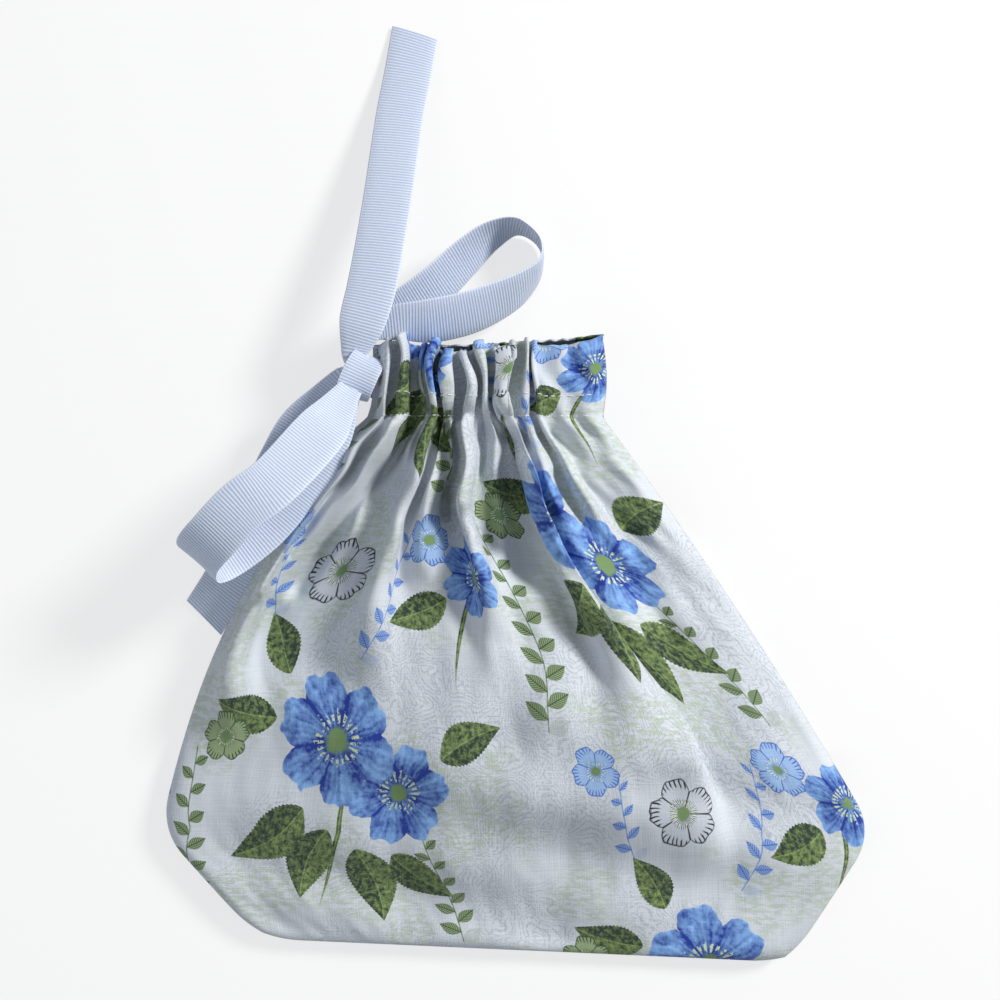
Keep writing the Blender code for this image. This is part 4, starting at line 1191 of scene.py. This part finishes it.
def ribbon_piece(name, told, material, end_cut=0.0, cupped=0.0):
    """A ribbed flat strip along a route, its last end cut on a slant."""
    path = smooth_route(told, RIB_PITCH / 4)
    middle = path[:, :3]
    travel = np.gradient(middle, axis=0)
    travel /= np.linalg.norm(travel, axis=1, keepdims=True)
    across = path[:, 3:6]
    across = across - (across * travel).sum(axis=1, keepdims=True) * travel
    across /= np.linalg.norm(across, axis=1, keepdims=True)
    face = np.cross(travel, across)
    steps = np.linalg.norm(np.diff(middle, axis=0), axis=1)
    run = np.concatenate([[0.0], np.cumsum(steps)])
    rib = np.cos(2 * math.pi * run / RIB_PITCH)
    section = np.array([-1.0, -0.95, -0.6, -0.2, 0.2, 0.6, 0.95, 1.0])
    ribbed = np.array([0.0, 0.4, 1.0, 1.0, 1.0, 1.0, 0.4, 0.0])
    thick = RIBBON_THICKNESS / 2 * np.array([0.3, 0.8, 1.0, 1.0, 1.0, 1.0, 0.8, 0.3])
    ring = []
    for side, order in ((1, slice(None)), (-1, slice(None, None, -1))):
        for v, r, t in zip(section[order], ribbed[order], thick[order]):
            half = path[:, 6:7] / 2 + RIB_DEPTH * 0.6 * rib[:, None] * (abs(v) == 1.0)
            lift = side * (t + RIB_DEPTH * r * rib) + cupped * (v * v - 0.4)
            slant = travel * end_cut * v * ease(run, run[-1] - 0.020, run[-1])[:, None]
            ring.append(middle + across * half * v + face * lift[:, None] + slant)
    rings = np.stack(ring, axis=1)
    rings = np.concatenate([rings, rings[:, :1]], axis=1)
    widths = np.concatenate([section, section[::-1], section[:1]]) * RIBBON_WIDTH * 500
    places = np.stack(np.broadcast_arrays(run[:, None] * 1000, widths[None, :]), axis=-1)
    piece = grid_piece(name, rings, places, material)
    merge_seams(piece, 0.000001)
    only(piece)
    bpy.ops.object.mode_set(mode="EDIT")
    bpy.ops.mesh.select_all(action="DESELECT")
    bpy.ops.mesh.select_non_manifold()
    bpy.ops.mesh.fill_holes(sides=0)
    bpy.ops.mesh.select_all(action="SELECT")
    bpy.ops.mesh.normals_make_consistent(inside=False)
    bpy.ops.object.mode_set(mode="OBJECT")
    return piece, middle, run[-1]


def knot_band():
    """The ribbon once round the knot, a little on the slant, its ends tucked underneath."""
    told = []
    for angle in np.linspace(math.radians(-150), math.radians(170), 15):
        axial = 0.0022 * math.sin(angle * 0.5)
        across = KNOT_RADII[0] * math.sin(angle)
        z = KNOT_CENTRE[2] + KNOT_RADII[1] * math.cos(angle)
        x = KNOT_CENTRE[0] + axial * math.cos(KNOT_TURN) - across * math.sin(KNOT_TURN)
        y = KNOT_CENTRE[1] + axial * math.sin(KNOT_TURN) + across * math.cos(KNOT_TURN)
        turn = math.degrees(KNOT_TURN) - 12 * math.sin(angle)
        told.append((x, y, z, *width_direction(turn, 0), 0.0105 + 0.0010 * math.cos(angle)))
    return told


def casing_route():
    """The ribbon's way round the neck inside the casing, with its width along the bag."""
    top, low, turn = 0.0184, 0.0084, NECK_RIGHT - 0.0090
    centre, radius = 0.0134, 0.0050
    route = [(NECK_LEFT - 0.0030, 0.0167), (NECK_LEFT + 0.0008, 0.0152), (NECK_LEFT + 0.0060, 0.0191)]
    route += [(x, top) for x in np.linspace(NECK_LEFT + 0.009, turn, 5)]
    route += [(turn + radius * math.cos(a), centre + radius * math.sin(a))
              for a in np.linspace(math.pi / 2, -math.pi / 2, 7)[1:-1]]
    route += [(x, low) for x in np.linspace(turn, NECK_LEFT + 0.009, 5)]
    route += [(NECK_LEFT + 0.0060, 0.0089), (NECK_LEFT + 0.0008, 0.0130), (NECK_LEFT - 0.0040, 0.0167)]
    told = []
    for x, z in route:
        inside = float(ease(x, NECK_LEFT - 0.003, NECK_LEFT + 0.009))
        told.append((x, blend(0.0893, 0.0862, inside), z, 0, 1, 0, blend(0.009, 0.016, inside)))
    return told


def make_ribbon(grosgrain):
    """The knot, the loops and the tails, and the run inside the casing."""
    def dress(piece, node):
        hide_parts(node)
        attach(piece, "root")

    run, _, _ = ribbon_piece("ribbon_in_casing", casing_route(), grosgrain)
    dress(run, "ribbon_casing_run")
    knot, middle, length = ribbon_piece("ribbon_knot_band", knot_band(), grosgrain, cupped=-0.0006)
    dress(knot, "ribbon_knot")

    stretches = [
        ("ribbon_tail_upper", "ribbon_tail_up", TAIL_UP, TAIL_UP_CUT, "bare"),
        ("ribbon_loop_over_neck", "ribbon_loop_right", LOOP_RIGHT, 0.0, "object"),
        ("ribbon_loop_over_bag", "ribbon_loop_left", LOOP_LEFT, 0.0, "object"),
        ("ribbon_tail_under", "ribbon_tail_back", TAIL_BACK, TAIL_BACK_CUT, "bare"),
    ]
    for name, node, points, cut, far_end in stretches:
        piece, middle, length = ribbon_piece(name, route_of(points, far_end == "object"), grosgrain,
                                             cut, 0.0004)
        dress(piece, node)


# The stitching: how far the two rows lie above the casing's foot, and one stitch's sizes

STITCH_ROWS = (0.001, 0.009)
STITCH_PITCH = 0.0030
STITCH_LENGTH = 0.0020
THREAD_RADIUS = 0.00017
THREAD_LIFT = 0.00016
END_SINK = 0.00006


def make_stitches(columns, up, rows, thread):
    """The casing's two rows of stitches, each one a short thread that follows the cloth's face."""
    travelled = columns * PANEL_WIDTH
    mesh = bpy.data.meshes.new("casing_stitches")
    bm = bmesh.new()
    for above in STITCH_ROWS:
        k = int(np.argmin(np.abs(up - (STITCH_UP + above))))
        row = rows[k]
        for start in np.arange(0.004, PANEL_WIDTH - 0.006, STITCH_PITCH):
            at = start + np.linspace(0.0, STITCH_LENGTH, 5)
            path = np.stack([np.interp(at, travelled, row[:, i]) for i in range(3)], axis=1)
            nearby = np.stack([np.interp(at, travelled, rows[k + 2][:, i]) for i in range(3)], axis=1)
            ahead = np.gradient(path, axis=0)
            normal = np.cross(ahead, nearby - path)
            normal /= np.maximum(np.linalg.norm(normal, axis=1, keepdims=True), 1e-9)
            side = np.cross(normal, ahead)
            side /= np.maximum(np.linalg.norm(side, axis=1, keepdims=True), 1e-9)
            rings = []
            for j, (point, out, beside) in enumerate(zip(path, normal, side)):
                thick = THREAD_RADIUS * (1.0 if 0 < j < 4 else 0.6)
                lift = THREAD_LIFT if 0 < j < 4 else -END_SINK
                ring = []
                for a in np.linspace(0.0, 2 * math.pi, 6, endpoint=False):
                    ring.append(bm.verts.new(point + out * (lift + thick * math.sin(a))
                                             + beside * thick * math.cos(a)))
                rings.append(ring)
            for low, high in zip(rings, rings[1:]):
                for j in range(6):
                    bm.faces.new((low[j], low[(j + 1) % 6], high[(j + 1) % 6], high[j]))
            bm.faces.new(rings[0][::-1])
            bm.faces.new(rings[-1])
    bmesh.ops.recalc_face_normals(bm, faces=bm.faces)
    bm.to_mesh(mesh)
    bm.free()
    mesh.materials.append(thread)
    mesh.shade_smooth()
    piece = bpy.data.objects.new("casing_stitches", mesh)
    bpy.context.scene.collection.objects.link(piece)
    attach(piece, "root")


# The floor and the light: the floor's colour under the bag and as it is seen, how much of the white
# paper shows in it, and how strong the surroundings are as light and as they are seen

FLOOR_UNDER = colour(200, 200, 202)
FLOOR_SEEN = colour(250, 250, 251)
PAPER_WHITE = colour(254, 254, 254)
PAPER_SHARE = 0.70
SKY_LIGHT = 0.28
SKY_SEEN = 0.70
LAMPS = [
    ("key_light", (0.72, 0.50, 0.62), 0.26, 11.4, (1.0, 0.985, 0.96)),
    ("fill_light", (-0.70, -0.20, 0.60), 0.80, 1.6, (0.90, 0.95, 1.0)),
]


def seen_directly(w):
    """1 where a ray comes from the camera, or through or off something shiny, and else 0."""
    rays = w.add("ShaderNodeLightPath").outputs
    shiny = w.math("MAXIMUM", rays["Is Glossy Ray"], rays["Is Transmission Ray"])
    return w.math("MAXIMUM", rays["Is Camera Ray"], shiny)


def make_stage():
    """The white floor that keeps the bag's shadow, the surroundings and the two lamps."""
    bpy.ops.mesh.primitive_plane_add(size=6.0, location=(0.0, 0.0, -0.0002))
    floor = bpy.context.object
    floor.name = "floor"
    material, w, shader = new_material("pale_floor")
    direct = seen_directly(w)
    w.feed(shader.inputs["Base Color"], w.mix(direct, FLOOR_UNDER, FLOOR_SEEN))
    shader.inputs["Roughness"].default_value = 0.9
    shader.inputs["Specular IOR Level"].default_value = 0.0
    paper = w.add("ShaderNodeEmission", PAPER_WHITE, 1.0)
    share = w.math("MULTIPLY", direct, PAPER_SHARE)
    shown = w.add("ShaderNodeMixShader", share, shader.outputs[0], paper.outputs[0])
    w.feed(material.node_tree.nodes["Material Output"].inputs["Surface"], shown.outputs[0])
    floor.data.materials.append(material)

    world = bpy.data.worlds.new("studio")
    bpy.context.scene.world = world
    world.use_nodes = True
    background = world.node_tree.nodes["Background"]
    background.inputs["Color"].default_value = (0.93, 0.96, 1.0, 1.0)
    w = Wiring(world.node_tree)
    strength = w.math("MULTIPLY_ADD", seen_directly(w), SKY_SEEN, SKY_LIGHT)
    w.feed(background.inputs["Strength"], strength)

    for name, place, size, power, tint in LAMPS:
        bpy.ops.object.light_add(type="AREA", location=place)
        lamp = bpy.context.object
        lamp.name = name
        lamp.data.shape = "DISK"
        lamp.data.size = size
        lamp.data.energy = power
        lamp.data.color = tint
        lamp.rotation_euler = Vector(place).to_track_quat("Z", "Y").to_euler()


def main():
    place_camera()
    build_repeat_group()
    build_leaf_group()
    build_blossom_group()
    build_sprig_group()
    build_ground_group()
    build_weave_group()
    build_print_group()
    make_ribbon(make_grosgrain())
    cotton_front = make_cotton("printed_cotton_front", (0.0, 0.0, 0.0))
    cotton_back = make_cotton("printed_cotton_back", (300.0, 40.0, 0.0))
    columns, up, rows = make_cloth(cotton_front, cotton_back, make_lining())
    make_stitches(columns, up, rows, make_thread())
    make_stage()
    bpy.context.scene.view_settings.view_transform = "Standard"


main()
